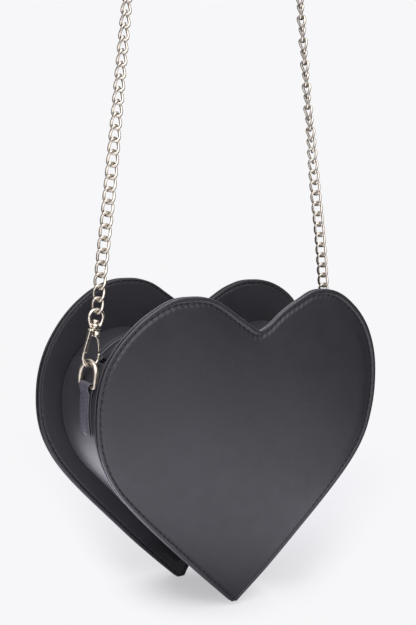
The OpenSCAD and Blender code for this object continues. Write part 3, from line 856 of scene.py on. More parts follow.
g_st = Geo()
for s in (-1.0, 1.0):
    line = [(x - nx * 0.02, s * (LIP + 2.25), z - nz * 0.02) for x, z, nx, nz in top_path(ZA_R + 3, ZA_L + 3)]
    for p, t in resample(line, 3.3, False):
        n = Vector((t.z, 0, -t.x))
        if n.z < 0:
            n = -n
        stitch(g_st, p, t, n, 2.5, 0.26)
g_st.out("zip_edge_stitches", [M_THREAD], "bag", slot="thread")

# rows of stitching across the band where the zip ends
g_st = Geo()
for side, za in ((-1, ZA_L), (1, ZA_R)):
    for da, off in ((-1.6, 0.0), (-3.4, 1.2)):
        a = math.radians(za + da)
        n = Vector((side * math.cos(a), 0, math.sin(a)))
        c = Vector((side * G_LOBE[0], 0, G_LOBE[1])) + n * (LR + 0.42)
        for k in range(-4, 4):
            y = k * 2.4 + off
            stitch(g_st, c + Vector((0, y, 0)), Vector((0, 1, 0)), n, 1.9, 0.27, 0.25, 0.12, 0.25)
g_st.out("zip_end_stitches", [M_THREAD], "bag", slot="thread")


# ---------------------------------------------------------------- zip
TAPE_L, TAPE_R = ZA_L + 5.2, ZA_R + 5.2


def tape_section(s):
    pts = [(0.16, -0.62), (0.2, -0.42), (0.42, -0.30), (0.9, -0.26), (2.6, -0.24), (3.8, -0.28), (4.6, -0.42), (4.84, -0.62), (4.86, -1.0), (5.3, -1.5), (9.5, -1.56),
           (12.5, -1.58), (12.5, -1.78), (5.2, -1.76), (4.3, -1.3), (3.6, -0.72), (0.5, -0.70)]
    return [(y * s, o) for y, o in pts]


tape_path = top_path(TAPE_R, TAPE_L)
for nm, s, node in (("zip_tape_facing_front", -1.0, "zip_tape_front"), ("zip_tape_facing_back", 1.0, "zip_tape_back")):
    v, f = loft(across(tape_path, tape_section(s), 0.12))
    build(nm, v, f, [M_TAPE], "bag", replaces=(node,), slot="zip_tape")

g_tf, g_tb = Geo(), Geo()
mid = [(x, 0.0, z) for x, z, nx, nz in top_path(TAPE_R + 0.4, TAPE_L + 0.4)]
for i, (p, t) in enumerate(resample(mid, 0.8, False)):
    n = Vector((t.z, 0, -t.x))
    if n.z < 0:
        n = -n
    geo, s = (g_tf, -1.0) if i % 2 == 0 else (g_tb, 1.0)
    loops = []
    for u, r, h in ((-2.45, 0.24, -1.16), (-2.2, 0.34, -1.12), (-1.2, 0.34, -1.08), (-0.25, 0.36, -1.04), (0.25, 0.36, -1.04), (0.45, 0.24, -1.08)):
        c = Vector((p.x, s * -u, p.z)) + n * h
        loops.append([c + t * (r * math.cos(2 * math.pi * j / 8)) + n * (r * 0.85 * math.sin(2 * math.pi * j / 8)) for j in range(8)])
    v, f = loft(loops)
    geo.add(v, f)
g_tf.out("zip_teeth_row_front", [M_TEETH], "bag", replaces=("zip_teeth_front",), slot="zip_teeth")
g_tb.out("zip_teeth_row_back", [M_TEETH], "bag", replaces=("zip_teeth_back",), slot="zip_teeth")


def lobe_frame(side, a_deg, out=0.0):
    """x along the gusset away from the middle, y back, z out of the gusset."""
    a = math.radians(a_deg)
    z = Vector((side * math.cos(a), 0, math.sin(a)))
    x = Vector((side * math.sin(a), 0, -math.cos(a)))
    y = z.cross(x)
    mt = Matrix((x, y, z)).transposed().to_4x4()
    mt.translation = Vector((side * G_LOBE[0], 0, G_LOBE[1])) + z * (LR + out)
    return mt


def box_loops(w, l, r, zs):
    """Rounded box along local z: zs = [(z, shrink)]"""
    return [[(q[0], q[1], z) for q in rrect(w - 2 * k, l - 2 * k, max(0.05, r - k * 0.5), 4)] for z, k in zs]


def put(geo, loops, mt, mat=0):
    v, f = loft([[mt @ Vector(p) for p in lp] for lp in loops])
    geo.add(v, f, mat)


for nm, side, a, node in (("zip_end_left", -1, ZA_L + 2.2, "zip_stop_left"), ("zip_end_right", 1, ZA_R + 2.2, "zip_stop_right")):
    g = Geo()
    put(g, box_loops(2.0, 5.2, 0.5, [(-1.45, 0.1), (-1.35, 0), (-0.1, 0), (0.08, 0.12), (0.15, 0.35)]), lobe_frame(side, a))
    g.out(nm, [M_ENAMEL], "bag", replaces=(node,), slot="zip_metal")

# slider and pull
SL = lobe_frame(1, 60.0)
g = Geo()
plate = [(-4.5, 2.2), (-3.6, 3.1), (-2.0, 3.6), (1.2, 3.6), (3.2, 3.1), (4.5, 1.6)]
outl = [(x, y) for x, y in plate] + [(x, -y) for x, y in plate[::-1]]


def plate_loops(zs):
    res = []
    for z, k in zs:
        res.append([(x * (1 - k / 4.5), y * (1 - k / 3.6), z) for x, y in outl])
    return res


put(g, plate_loops([(0.35, 0.25), (0.5, 0.0), (1.1, 0.0), (1.28, 0.15), (1.35, 0.45)]), SL)
put(g, plate_loops([(-3.4, 0.3), (-3.25, 0.05), (-2.75, 0.0), (-2.6, 0.2)]), SL)
put(g, box_loops(2.4, 0.4, 0.1, [(-2.7, 0), (0.5, 0)]), SL)
arch = [(-2.2, 1.2), (-2.25, 2.2), (-1.9, 2.85), (-1.0, 3.12), (0.0, 3.2), (1.0, 3.12), (1.9, 2.85), (2.25, 2.2), (2.2, 1.2)]
v, f = sweep([SL @ Vector((x, 0, z)) for x, z in arch], rrect(0.7, 1.4, 0.2), ref=SL.to_3x3() @ Vector((0, 1, 0)))
g.add(v, f)
g.out("zip_slider_body", [M_ENAMEL], "slider", replaces=("zip_slider",), slot="zip_metal")

g = Geo()
PV = SL @ Matrix.Translation((0, 0, 2.05))
v, f = sweep([PV @ Vector((0, y, 0)) for y in (-1.9, -1.0, 0, 1.0, 1.9)], circle_pts(0.45, 16), ref=PV.to_3x3() @ Vector((0, 0, 1)), dome=0.1)
g.add(v, f)
for s in (-1, 1):
    v, f = sweep([PV @ Vector((x, s * 1.45, 0)) for x in (0.1, -1.5, -3, -4.4, -5.6)], rrect(0.9, 0.85, 0.25), ref=PV.to_3x3() @ Vector((0, 0, 1)))
    g.add(v, f)
half = [(-5.0, 2.2), (-5.6, 2.3), (-9, 2.15), (-13, 2.05), (-17, 2.25), (-19.2, 2.3), (-20.3, 1.9), (-21.0, 1.1), (-21.25, 0.0)]
tab_out = [(x, y) for x, y in half] + [(x, -y) for x, y in half[::-1][1:]]
loops = []
for z, k in ((-0.45, 0.18), (-0.33, 0.03), (0.0, 0.0), (0.33, 0.03), (0.45, 0.18)):
    loops.append([PV @ Vector((-13 + (x + 13) * (1 - k / 8), y * (1 - k / 2.2), z)) for x, y in tab_out])
v, f = loft(loops)
g.add(v, f)
g.out("zip_pull_tab", [M_ENAMEL], "pull", replaces=("zip_pull",), slot="zip_metal")


# ---------------------------------------------------------------- side tabs and D-rings
BAR_X, BAR_Z = G_LOBE[0] + LR + 1.15, 133.4
TAB_W = 8.9


def tab(side, node):
    """A folded strap: up the outside, round the ring bar and down against the gusset."""
    path = []   # (x, z, nx, nz) of the strap's middle, with the outward normal
    ro, ri = SR + 1.78, SR + 0.56
    for i in range(15):
        a = math.radians(-17.4 + 17.4 * i / 14)
        path.append((G_SIDE[0] + ro * math.cos(a), G_SIDE[1] + ro * math.sin(a), math.cos(a), math.sin(a)))
    xo = G_SIDE[0] + ro
    for z in (124.3, 125.6, 126.6):
        path.append((xo, z, 1.0, 0.0))
    path += [(xo - 0.08, 127.6, 1.0, 0.05), (xo - 0.1, 128.6, 0.99, -0.12), (xo + 0.2, 130.0, 0.94, -0.34), (xo + 0.85, 131.4, 0.93, -0.37)]
    for i in range(17):
        a = math.radians(-24 + 226 * i / 16)
        path.append((BAR_X + 0.12 + 1.82 * math.cos(a), BAR_Z + 0.1 + 1.78 * math.sin(a), math.cos(a), math.sin(a)))
    xi = G_SIDE[0] + ri
    path += [(xi - 0.55, 131.4, -0.96, -0.27), (xi - 0.18, 129.6, -0.98, -0.2), (xi - 0.02, 128.0, -1.0, 0.0)]
    for z in (126.6, 125.2, 124.0):
        path.append((xi, z, -1.0, 0.0))
    for i in range(12):
        a = math.radians(-17.0 * i / 11)
        path.append((G_SIDE[0] + ri * math.cos(a), G_SIDE[1] + ri * math.sin(a), -math.cos(a), -math.sin(a)))
    # length along the strap, for the round end
    lens = [0.0]
    for a, b in zip(path, path[1:]):
        lens.append(lens[-1] + math.hypot(b[0] - a[0], b[1] - a[1]))
    total = lens[-1]
    # finer stations near the ends
    loops, fms = [], []
    th = 1.04

    def at(s):
        s = max(0.0, min(total, s))
        for i in range(len(path) - 1):
            if lens[i + 1] >= s:
                u = (s - lens[i]) / max(1e-9, lens[i + 1] - lens[i])
                q = [path[i][k] * (1 - u) + path[i + 1][k] * u for k in range(4)]
                l = math.hypot(q[2], q[3])
                return q[0], q[1], q[2] / l, q[3] / l
        return path[-1]

    ends = [0.02, 0.15, 0.4, 0.8, 1.3, 1.9, 2.6, 3.4, 4.4]
    stations = sorted(set(ends + [total - e for e in ends] + [5.0 + i * (total - 10.0) / 60 for i in range(61)]))
    groove = 1.3
    for s in stations:
        x, z, nx, nz = at(s)
        e = min(s, total - s)
        r = 3.4
        hw = TAB_W / 2 - (r - math.sqrt(max(0.0, r * r - (r - e) ** 2)) if e < r else 0.0)
        if hw < 0.4:
            hw = 0.4
        tt = th * (0.55 + 0.45 * min(1.0, e / 0.5))
        hw += 0.95 * math.exp(-((s - 34.8) / 4.2) ** 2) - 0.35 * math.exp(-((s - 28.2) / 1.8) ** 2)
        front = s < 32.0     # the outer leg, seen face on
        ys = []
        k = 26
        for i in range(k + 1):
            y = -hw + 2 * hw * i / k
            edge = hw - abs(y)
            o = tt / 2 * (1 - max(0.0, 1 - edge / 0.45) ** 2 * 0.8)
            if front and s < 28.0:
                d_edge = min(edge, e if e < 5 else 99, 28.5 - s)
                o -= 0.26 * math.exp(-((d_edge - groove) / 0.34) ** 2)
                if d_edge > groove + 0.3:
                    o += 0.24 * smooth((d_edge - groove - 0.2) / 1.5)
            ys.append((y, o))
        lower = [(y, -tt / 2 * (1 - max(0.0, 1 - (hw - abs(y)) / 0.45) ** 2 * 0.8)) for y in [hw - 2 * hw * i / 8 for i in range(9)]]
        sec = ys + lower
        loops.append([Vector((side * (x + nx * o), y, z + nz * o)) for y, o in sec])
    v, f = loft(loops)
    fm = []
    n = len(loops[0])
    for i in range(len(loops) - 1):
        for j in range(n):
            fm.append(1 if j in (25, 26, 34, 35) else 0)
    fm += [1, 1]
    nm = "side_strap_" + ("left" if side < 0 else "right")
    # the strap's lighter leather is painted light
    build(nm, v, f, [M_TAB_PAINTED_LIGHT, M_EDGE], "bag", face_mats=fm, replaces=(node,), slot="leather_tab")
    # stitches round the outer leg
    g = Geo()
    run = []
    for s in [2.0 + i * 0.5 for i in range(52)]:
        run.append((s, -(TAB_W / 2 - groove)))
    for i in range(1, 12):
        run.append((27.2, -(TAB_W / 2 - groove) + i * (TAB_W - 2 * groove) / 12))
    for s in [27.5 - i * 0.5 for i in range(52)]:
        run.append((s, TAB_W / 2 - groove))
    for i in range(1, 12):
        run.append((1.6, (TAB_W / 2 - groove) - i * (TAB_W - 2 * groove) / 12))
    pts = []
    for s, y in run:
        x, z, nx, nz = at(s)
        pts.append((side * (x + nx * (th / 2 - 0.16)), y, z + nz * (th / 2 - 0.16)))
    for p, t in resample(pts, 2.5):
        best = min(path, key=lambda q: (q[0] * side - p.x) ** 2 + (q[1] - p.z) ** 2)
        n = Vector((side * best[2], 0, best[3]))
        stitch(g, p, t, n, 1.9, 0.22, 0.08, 0.08)
    g.out(nm + "_stitches", [M_THREAD], "bag", slot="thread")


tab(-1, "side_tab_left")
tab(1, "side_tab_right")

HX, HZ = 91.5, 144.25
LEAN = {-1: 4.7, 1: 13.4}


def hook_frame(side):
    """Local frame of a hook: z along it, x towards the gate, y back."""
    a = math.radians(LEAN[side])
    z = Vector((-side * math.sin(a), 0, math.cos(a)))
    x = Vector((-side * math.cos(a), 0, -math.sin(a)))
    y = Vector((0, 1, 0))
    mt = Matrix((x, y, z)).transposed().to_4x4()
    mt.translation = Vector((side * HX, 0, HZ))
    return mt


def d_ring(side, body, node):
    a = math.radians(LEAN[side])
    gap = 2.6
    top = Vector((side * HX - side * gap * math.sin(a), 0, HZ + gap * math.cos(a)))
    bar = Vector((side * BAR_X, 0, BAR_Z))
    up_v = (top - bar).normalized()
    h = (top - bar).length
    pts = []
    rc = 1.5
    for y in (-5.5, -3.0, 0.0, 3.0, 5.5):
        pts.append((y, 0.0))
    for i in range(1, 8):
        b = math.radians(-90 + 90 * i / 7)
        pts.append((7.5 - rc + rc * math.cos(b), rc + rc * math.sin(b)))
    pts += [(7.5, 2.4), (7.5, 3.6), (7.5, 4.8)]
    for i in range(0, 33):
        b = math.pi * i / 32
        pts.append((7.5 * math.cos(b), h - 7.5 + 7.5 * math.sin(b)))
    pts += [(-7.5, 4.8), (-7.5, 3.6), (-7.5, 2.4)]
    for i in range(0, 7):
        b = math.radians(180 + 90 * i / 7)
        pts.append((-7.5 + rc + rc * math.cos(b), rc + rc * math.sin(b)))
    path = [bar + Vector((0, y, 0)) + up_v * z for y, z in pts]
    ref = Vector((0, 1, 0)).cross(up_v)
    secs = []
    for y, z in pts:
        secs.append(circle_pts(1.0 + 0.42 * smooth((z - 1.0) / 3.0), 18))
    v, f = sweep(path, secs, closed=True, ref=ref)
    build("d_ring_wire_" + ("left" if side < 0 else "right"), v, f, [M_RING], body, replaces=(node,), slot="pale_gold")


d_ring(-1, "ring_left", "d_ring_left")
d_ring(1, "ring_right", "d_ring_right")


# ---------------------------------------------------------------- snap hooks
RIV = (1.0, 17.6)


def curve(keys, n):
    """Smooth run through key points."""
    res = []
    k = len(keys)
    for i in range(k - 1):
        p0, p1, p2, p3 = keys[max(0, i - 1)], keys[i], keys[i + 1], keys[min(k - 1, i + 2)]
        for j in range(n):
            t = j / n
            res.append(tuple(0.5 * (2 * p1[c] + (p2[c] - p0[c]) * t + (2 * p0[c] - 5 * p1[c] + 4 * p2[c] - p3[c]) * t * t + (3 * p1[c] - p0[c] - 3 * p2[c] + p3[c]) * t**3) for c in range(len(p1))))
    return res + [tuple(keys[-1])]


def hook(side):
    H = hook_frame(side)
    tag = "left" if side < 0 else "right"
    yv = Vector((0, 1, 0))
    g = Geo()
    # flat leg, blunt at its foot
    path, secs = [], []
    for i in range(15):
        u = i / 14
        path.append((-2.35 - 2.25 * u ** 1.1, 20.3 - 13.0 * u))
        w, t = 2.6 - 0.3 * u, 2.5 - 0.4 * u
        if i == 14:
            w, t = w - 0.35, t - 0.35
        secs.append(rrect(w, t, 0.42, 5))
    path.append((-4.62, 7.2))
    secs.append(rrect(1.1, 1.3, 0.4, 5))
    v, f = sweep([H @ Vector((x, 0, z)) for x, z in path], secs, ref=yv)
    g.add(v, f)
    # round wire bend and tip
    path = [(-4.45, 8.6), (-4.72, 7.4), (-4.93, 6.2)]
    for i in range(0, 31):
        b = math.radians(180 + 180 * i / 30)
        path.append((5 * math.cos(b), 5 + 5 * math.sin(b)))
    path += [(5.02, 5.8), (5.04, 6.5)]
    secs = [circle_pts(0.86 + (0.10 if i > len(path) - 5 else 0.0), 20) for i in range(len(path))]
    v, f = sweep([H @ Vector((x, 0, z)) for x, z in path], secs, ref=yv, dome=0.8)
    g.add(v, f)
    # top plate and the two ears of the rivet
    put(g, [[(x, y, z) for x, y in rrect(5.5 - 2 * k, 3.8 - 2 * k, 0.7, 5)] for z, k in ((19.45, 0.25), (19.6, 0.06), (19.8, 0), (20.55, 0), (20.75, 0.06), (20.88, 0.25))], H @ Matrix.Translation((0.15, 0, 0)))
    for s in (-1, 1):
        prof = [(-0.6, 19.7), (2.6, 19.7)]
        for i in range(13):
            b = math.radians(-180 * i / 12)
            prof.append((RIV[0] + 1.6 * math.cos(b), RIV[1] + 0.1 + 1.6 * math.sin(b)))
        loops = []
        for y, k in ((1.05, 0.0), (1.6, 0.0), (1.8, 0.08), (1.9, 0.25)):
            loops.append([H @ Vector((RIV[0] + (x - RIV[0]) * (1 - k / 1.6), s * y, 18.4 + (z - 18.4) * (1 - k / 1.6))) for x, z in prof])
        v, f = loft(loops)
        g.add(v, f)
    # neck, post and its head inside the eye
    v, f = lathe([(0, 19.8), (1.7, 19.8), (1.75, 20.6), (1.6, 20.86), (0.88, 20.9), (0.88, 23.45), (1.45, 23.5), (1.62, 23.75), (1.66, 25.0), (1.5, 25.42), (0.8, 25.58), (0, 25.6)], H, 32)
    g.add(v, f)
    g.out("snap_hook_" + tag, [M_GOLD], "hook_" + tag, replaces=("hook_" + tag,), slot="pale_gold")
    # gate: collar on the rivet, slim bar, thicker foot with a thumb bump
    g = Geo()
    R = H @ Matrix.Translation((RIV[0], 0, RIV[1]))
    RX = R @ Matrix.Rotation(math.radians(-90), 4, "X")
    v, f = lathe_ring([(0.8, -0.62), (1.3, -0.62), (1.42, -0.5), (1.42, 0.5), (1.3, 0.62), (0.8, 0.62)], RX, 32)
    g.add(v, f)
    A = R @ Matrix.Rotation(math.radians(-19.4), 4, "Y")
    keys = [(0.15, -0.95, 1.2, 1.2), (0.55, -2.0, 1.15, 1.24), (0.72, -3.2, 1.1, 1.5), (0.72, -5.0, 1.1, 1.5), (0.70, -6.6, 1.15, 1.55), (0.74, -7.1, 1.5, 1.8), (0.72, -8.2, 1.6, 1.9), (0.45, -9.3, 1.55, 1.9), (0.22, -9.8, 1.3, 1.7)]
    run = curve(keys, 4)
    v, f = sweep([A @ Vector((q[0], 0, q[1])) for q in run], [rrect(max(0.7, q[2]), max(0.8, q[3]), 0.4, 4) for q in run], ref=yv, dome=0.2)
    g.add(v, f)
    # ribs pressed into the bar
    for k in range(5):
        c = A @ Vector((0.72, 0, -3.0 - 0.75 * k))
        mt = A.copy()
        mt.translation = c
        put(g, [[(x, y, z) for x, y in rrect(1.32, 1.7, 0.42, 4)] for z in (-0.16, 0.16)], mt)
    g.out("hook_gate_" + tag, [M_GOLD], "gate_" + tag, replaces=("gate_" + tag,), slot="pale_gold")
    # rivet
    g = Geo()
    v, f = lathe([(0, -2.84), (0.4, -2.82), (0.8, -2.72), (1.15, -2.56), (1.45, -2.36), (1.64, -2.14), (1.7, -2.0), (1.62, -1.93), (0.74, -1.9), (0.74, 1.9), (1.62, 1.93), (1.7, 2.0), (1.64, 2.14), (1.45, 2.36), (1.15, 2.56), (0.8, 2.72), (0.4, 2.82), (0, 2.84)], RX, 32)
    g.add(v, f)
    g.out("hook_rivet_" + tag, [M_GOLD], "hook_" + tag, replaces=("gate_rivet_" + tag,), slot="pale_gold")
    # swivel eye: shield shape on a heavier foot
    g = Geo()
    half = [(0.0, 31.2), (1.9, 30.9), (3.6, 29.7), (4.45, 27.9), (4.35, 25.9), (3.75, 23.9), (2.9, 22.5), (1.6, 22.1), (0.0, 22.05)]
    keys = half + [(-x, z) for x, z in half[::-1][1:]]
    run = curve(keys, 5)[:-1]
    secs = []
    for x, z in run:
        k = smooth((24.0 - z) / 1.6)
        secs.append(circle_pts(0.86 + 0.12 * k, 18, 0.86 + 0.5 * k))
    v, f = sweep([H @ Vector((x, 0, z)) for x, z in run], secs, closed=True, ref=yv)
    g.add(v, f)
    v, f = lathe_ring([(0.95, 21.1), (1.85, 21.1), (2.08, 21.35), (2.12, 22.2), (2.05, 23.0), (1.8, 23.32), (0.95, 23.32)], H, 32)
    g.add(v, f)
    g.out("hook_eye_" + tag, [M_GOLD], "strap", replaces=("swivel_eye_" + tag,), slot="pale_gold")


hook(-1)
hook(1)


# ---------------------------------------------------------------- chain
EYE_BAR = 26.65 + 4.45 - 0.9 - 0.8 - 0.1
end = {s: hook_frame(s) @ Vector((0, 0, EYE_BAR)) for s in (-1, 1)}
ARC_C, ARC_R = Vector((-23.0, 0, 372.0)), 60.0
N_LINK = 89


def tangent(side):
    v = ARC_C - end[side]
    l = math.hypot(v.x, v.z)
    off = math.asin(ARC_R / l)
    d = math.atan2(v.z, v.x) + (off if side < 0 else -off)
    return d, math.sqrt(l * l - ARC_R**2)


dir_l, len_l = tangent(-1)
dir_r, len_r = tangent(1)
turn = (dir_l + math.pi / 2) - (dir_r - math.pi / 2)
len_a = ARC_R * turn
len_all = len_l + len_a + len_r
PITCH = (len_all - 1.6 - 0.12) / N_LINK
LINK_C = PITCH + 1.72


def strap_at(s):
    if s < len_l:
        t = Vector((math.cos(dir_l), 0, math.sin(dir_l)))
        return end[-1] + t * s, t
    if s < len_l + len_a:
        a = dir_l + math.pi / 2 - (s - len_l) / ARC_R
        return ARC_C + Vector((ARC_R * math.cos(a), 0, ARC_R * math.sin(a))), Vector((math.sin(a), 0, -math.cos(a)))
    b = len_all - s
    t = Vector((math.cos(dir_r), 0, math.sin(dir_r)))
    return end[1] + t * b, -t


def along(t, x):
    for (a, u), (b, w) in zip(t, t[1:]):
        if x <= b:
            return u + (w - u) * max(0.0, (x - a) / (b - a))
    return t[-1][1]


def face_turn(s, j):
    """How far the flat side of the chain is turned from the strap's plane."""
    if s < len_l:
        return math.radians(along([(0, -39), (45, -35), (60, -31), (80, -16), (92, -5), (105, 3), (135, 12), (165, 18), (201, 22)], s))
    if s < len_l + len_a:
        return math.radians(22 + 88 * (s - len_l) / len_a)
    b = len_all - s
    base = along([(0, 39), (60, 44), (75, 58), (90, 79), (104, 95), (122, 108), (150, 113), (219, 110)], b)
    return math.radians(base + (11 if j % 2 else -11) * smooth((b - 100) / 25))


def sideways(s):
    """The strands hang a little off the straight line."""
    if s < len_l:
        return along([(0, 0), (12, 0.15), (35, 0.5), (60, 1.05), (80, 1.3), (201, 1.3)], s)
    if s < len_l + len_a:
        return 1.3 - 2.5 * (s - len_l) / len_a
    return along([(0, 0), (12, 0.9), (40, 1.2), (55, 0.9), (72, 0.0), (90, -0.3), (112, -0.4), (124, -1.1), (219, -1.2)], len_all - s)


TW = math.radians(38)


def add_link(geo, c, t, psi, j):
    side = Vector((0, 1, 0))
    u0 = (side.cross(t)).normalized()
    u = u0 * math.cos(psi) + side * math.sin(psi)
    w = t.cross(u)
    loops = []
    n = 40
    a_in, b_in = 2.75, LINK_C / 2
    pts = []
    for i in range(n):
        th = 2 * math.pi * i / n
        cx, cz = math.cos(th), math.sin(th)
        e = 0.70
        x = a_in * math.copysign(abs(cx) ** e, cx)
        z = b_in * math.copysign(abs(cz) ** e, cz)
        al = TW * z / b_in
        pts.append(c + u * (x * math.cos(al)) + w * (x * math.sin(al)) + t * z)
    k = len(pts)
    for i in range(k):
        tg = (pts[(i + 1) % k] - pts[(i - 1) % k]).normalized()
        out = (pts[i] - c)
        out = (out - tg * out.dot(tg)).normalized()
        bn = tg.cross(out)
        loops.append([pts[i] + out * (0.80 * math.cos(2 * math.pi * q / 12)) + bn * (0.80 * math.sin(2 * math.pi * q / 12)) for q in range(12)])
    v, f = loft(loops, True)
    geo.add(v, f)


n_l = int(len_l / PITCH)
n_a = n_l + round(len_a / PITCH)
for nm, i0, i1 in (("chain_left", 0, n_l), ("chain_top", n_l, n_a), ("chain_right", n_a, N_LINK)):
    g = Geo()
    for i in range(i0, i1):
        s = LINK_C / 2 + i * PITCH
        c, t = strap_at(s)
        c = c + Vector((sideways(s), 0, 0))
        add_link(g, c, t, face_turn(s, i), i)
    g.out("curb_links_" + nm[6:], [M_GOLD_CHAIN], "strap", replaces=(nm,), slot="pale_gold")


# ---------------------------------------------------------------- CAD pieces that stay
def finish_node(node, mat):
    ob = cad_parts[node]
    ob.data.materials.clear()
    ob.data.materials.append(mat)


for n in ("lining_front", "lining_back", "lining_band_front", "lining_band_back", "lining_band_base"):
    finish_node(n, M_LINING)
for n in ("gate_spring_left", "gate_spring_right"):
    finish_node(n, M_STEEL)


# ---------------------------------------------------------------- floor and light
ROOM = (0.930, 0.930, 0.945, 1.0)


def value_range(nt, val, a, b, c, d, kind="SMOOTHSTEP"):
    mr = nt.nodes.new("ShaderNodeMapRange")
    mr.interpolation_type = kind
    mr.inputs["From Min"].default_value = a
    mr.inputs["From Max"].default_value = b
    mr.inputs["To Min"].default_value = c
    mr.inputs["To Max"].default_value = d
    nt.links.new(val, mr.inputs["Value"])
    return mr.outputs["Result"]


def floor():
    """A pale sweep. To the camera the paper glows evenly, and the lit paper with its real shadows shows only inside
    painted shadow masks under and behind the bag; to everything else the paper glows in painted pools of bounce light,
    with painted shade near the bag.
    """
    me = bpy.data.meshes.new("floor")
    s, z = 6.0, (0.4 - OZ) / 1000.0
    me.from_pydata([(-s, -s, z), (s, -s, z), (s, s, z), (-s, s, z)], [], [(0, 1, 2, 3)])
    ob = bpy.data.objects.new("floor", me)
    bpy.context.scene.collection.objects.link(ob)
    mat, nt, bsdf, obj = new_mat("pale_floor")
    tone = noise_tex(nt, obj, 3.0, 2.0, 0.5)
    nt.links.new(ramp(nt, tone, [(0.2, FLOOR_LO), (0.8, FLOOR_HI)]), bsdf.inputs["Base Color"])
    bsdf.inputs["Roughness"].default_value = 1.0
    bsdf.inputs["Specular IOR Level"].default_value = 0.0
    dist = nt.nodes.new("ShaderNodeVectorMath")
    dist.operation = "DISTANCE"
    mp = nt.nodes.new("ShaderNodeMapping")
    mp.inputs["Scale"].default_value = (1.0, 1.0, 0.0)
    nt.links.new(obj, mp.inputs["Vector"])
    nt.links.new(mp.outputs["Vector"], dist.inputs[0])
    dist.inputs[1].default_value = (0.023, 0.0, 0.0)
    r = dist.outputs["Value"]
    glow = nt.nodes.new("ShaderNodeEmission")
    glow.inputs["Color"].default_value = ROOM
    # painted shadow under the bag: inside this mask the lit paper with the lamps' real shadow shows, so the shadow is
    # real but its reach is painted
    near = value_range(nt, r, 0.010, 0.064, SHADOW, 0.0)

    def calc(kind, a, b=None):
        n = nt.nodes.new("ShaderNodeMath")
        n.operation = kind
        for i, v in enumerate((a, b)):
            if isinstance(v, float):
                n.inputs[i].default_value = v
            elif v is not None:
                nt.links.new(v, n.inputs[i])
        return n.outputs[0]

    def dot(x, y):
        n = nt.nodes.new("ShaderNodeVectorMath")
        n.operation = "DOT_PRODUCT"
        n.inputs[1].default_value = (x, y, 0.0)
        nt.links.new(mp.outputs["Vector"], n.inputs[0])
        return n.outputs["Value"]

    # the wide faint shadow thrown to the back: real shadow on the lit paper, shown only inside this painted mask, so
    # its shape and reach are painted shadow
    across_it, depth_in = dot(0.77, -0.63), dot(0.63, 0.76)
    half_w = calc("MAXIMUM", calc("ADD", calc("MULTIPLY", depth_in, 0.325), 0.055), 0.02)
    q = calc("DIVIDE", calc("ABSOLUTE", calc("SUBTRACT", across_it, 0.025)), half_w)
    thrown = calc("MULTIPLY", value_range(nt, q, 0.70, 1.22, SHADE_BACK, 0.0), value_range(nt, depth_in, 0.24, 0.42, 1.0, 0.0))
    thrown = calc("MULTIPLY", thrown, value_range(nt, depth_in, -0.02, 0.05, 0.0, 1.0))
    seen = nt.nodes.new("ShaderNodeMixShader")
    nt.links.new(calc("MAXIMUM", near, thrown), seen.inputs["Fac"])
    nt.links.new(glow.outputs[0], seen.inputs[1])
    nt.links.new(bsdf.outputs[0], seen.inputs[2])
    # to everything but the camera the paper glows, lit by no lamp: painted pools of bounce light
    bounce = nt.nodes.new("ShaderNodeEmission")
    bounce.inputs["Color"].default_value = (0.945, 0.92, 1.03, 1.0)
    far = nt.nodes.new("ShaderNodeVectorMath")
    far.operation = "DISTANCE"
    wide = nt.nodes.new("ShaderNodeMapping")
    wide.inputs["Scale"].default_value = (1.0, 1.0, 0.0)
    nt.links.new(obj, wide.inputs["Vector"])
    nt.links.new(wide.outputs["Vector"], far.inputs[0])
    far.inputs[1].default_value = (0.16, -0.28, 0.0)
    side = nt.nodes.new("ShaderNodeVectorMath")
    side.operation = "DOT_PRODUCT"
    side.inputs[1].default_value = (1.0, 0.827, 0.0)
    nt.links.new(mp.outputs["Vector"], side.inputs[0])
    # painted shade: the glow dims towards the right
    dim_right = nt.nodes.new("ShaderNodeMath")
    dim_right.operation = "MULTIPLY"
    nt.links.new(value_range(nt, side.outputs["Value"], BOUNCE_DIM_RIGHT[0], BOUNCE_DIM_RIGHT[1], 1.0, BOUNCE_DIM_RIGHT[2]), dim_right.inputs[1])
    shade = nt.nodes.new("ShaderNodeMath")
    shade.operation = "MULTIPLY"
    behind = nt.nodes.new("ShaderNodeVectorMath")
    behind.operation = "DISTANCE"
    nt.links.new(mp.outputs["Vector"], behind.inputs[0])
    behind.inputs[1].default_value = (-0.062, 0.105, 0.0)
    pools = nt.nodes.new("ShaderNodeMath")
    pools.operation = "ADD"
    nt.links.new(value_range(nt, far.outputs["Value"], 0.02, 0.56, BOUNCE_NEAR, BOUNCE_FAR), dim_right.inputs[0])
    depth = nt.nodes.new("ShaderNodeSeparateXYZ")
    nt.links.new(mp.outputs["Vector"], depth.inputs[0])
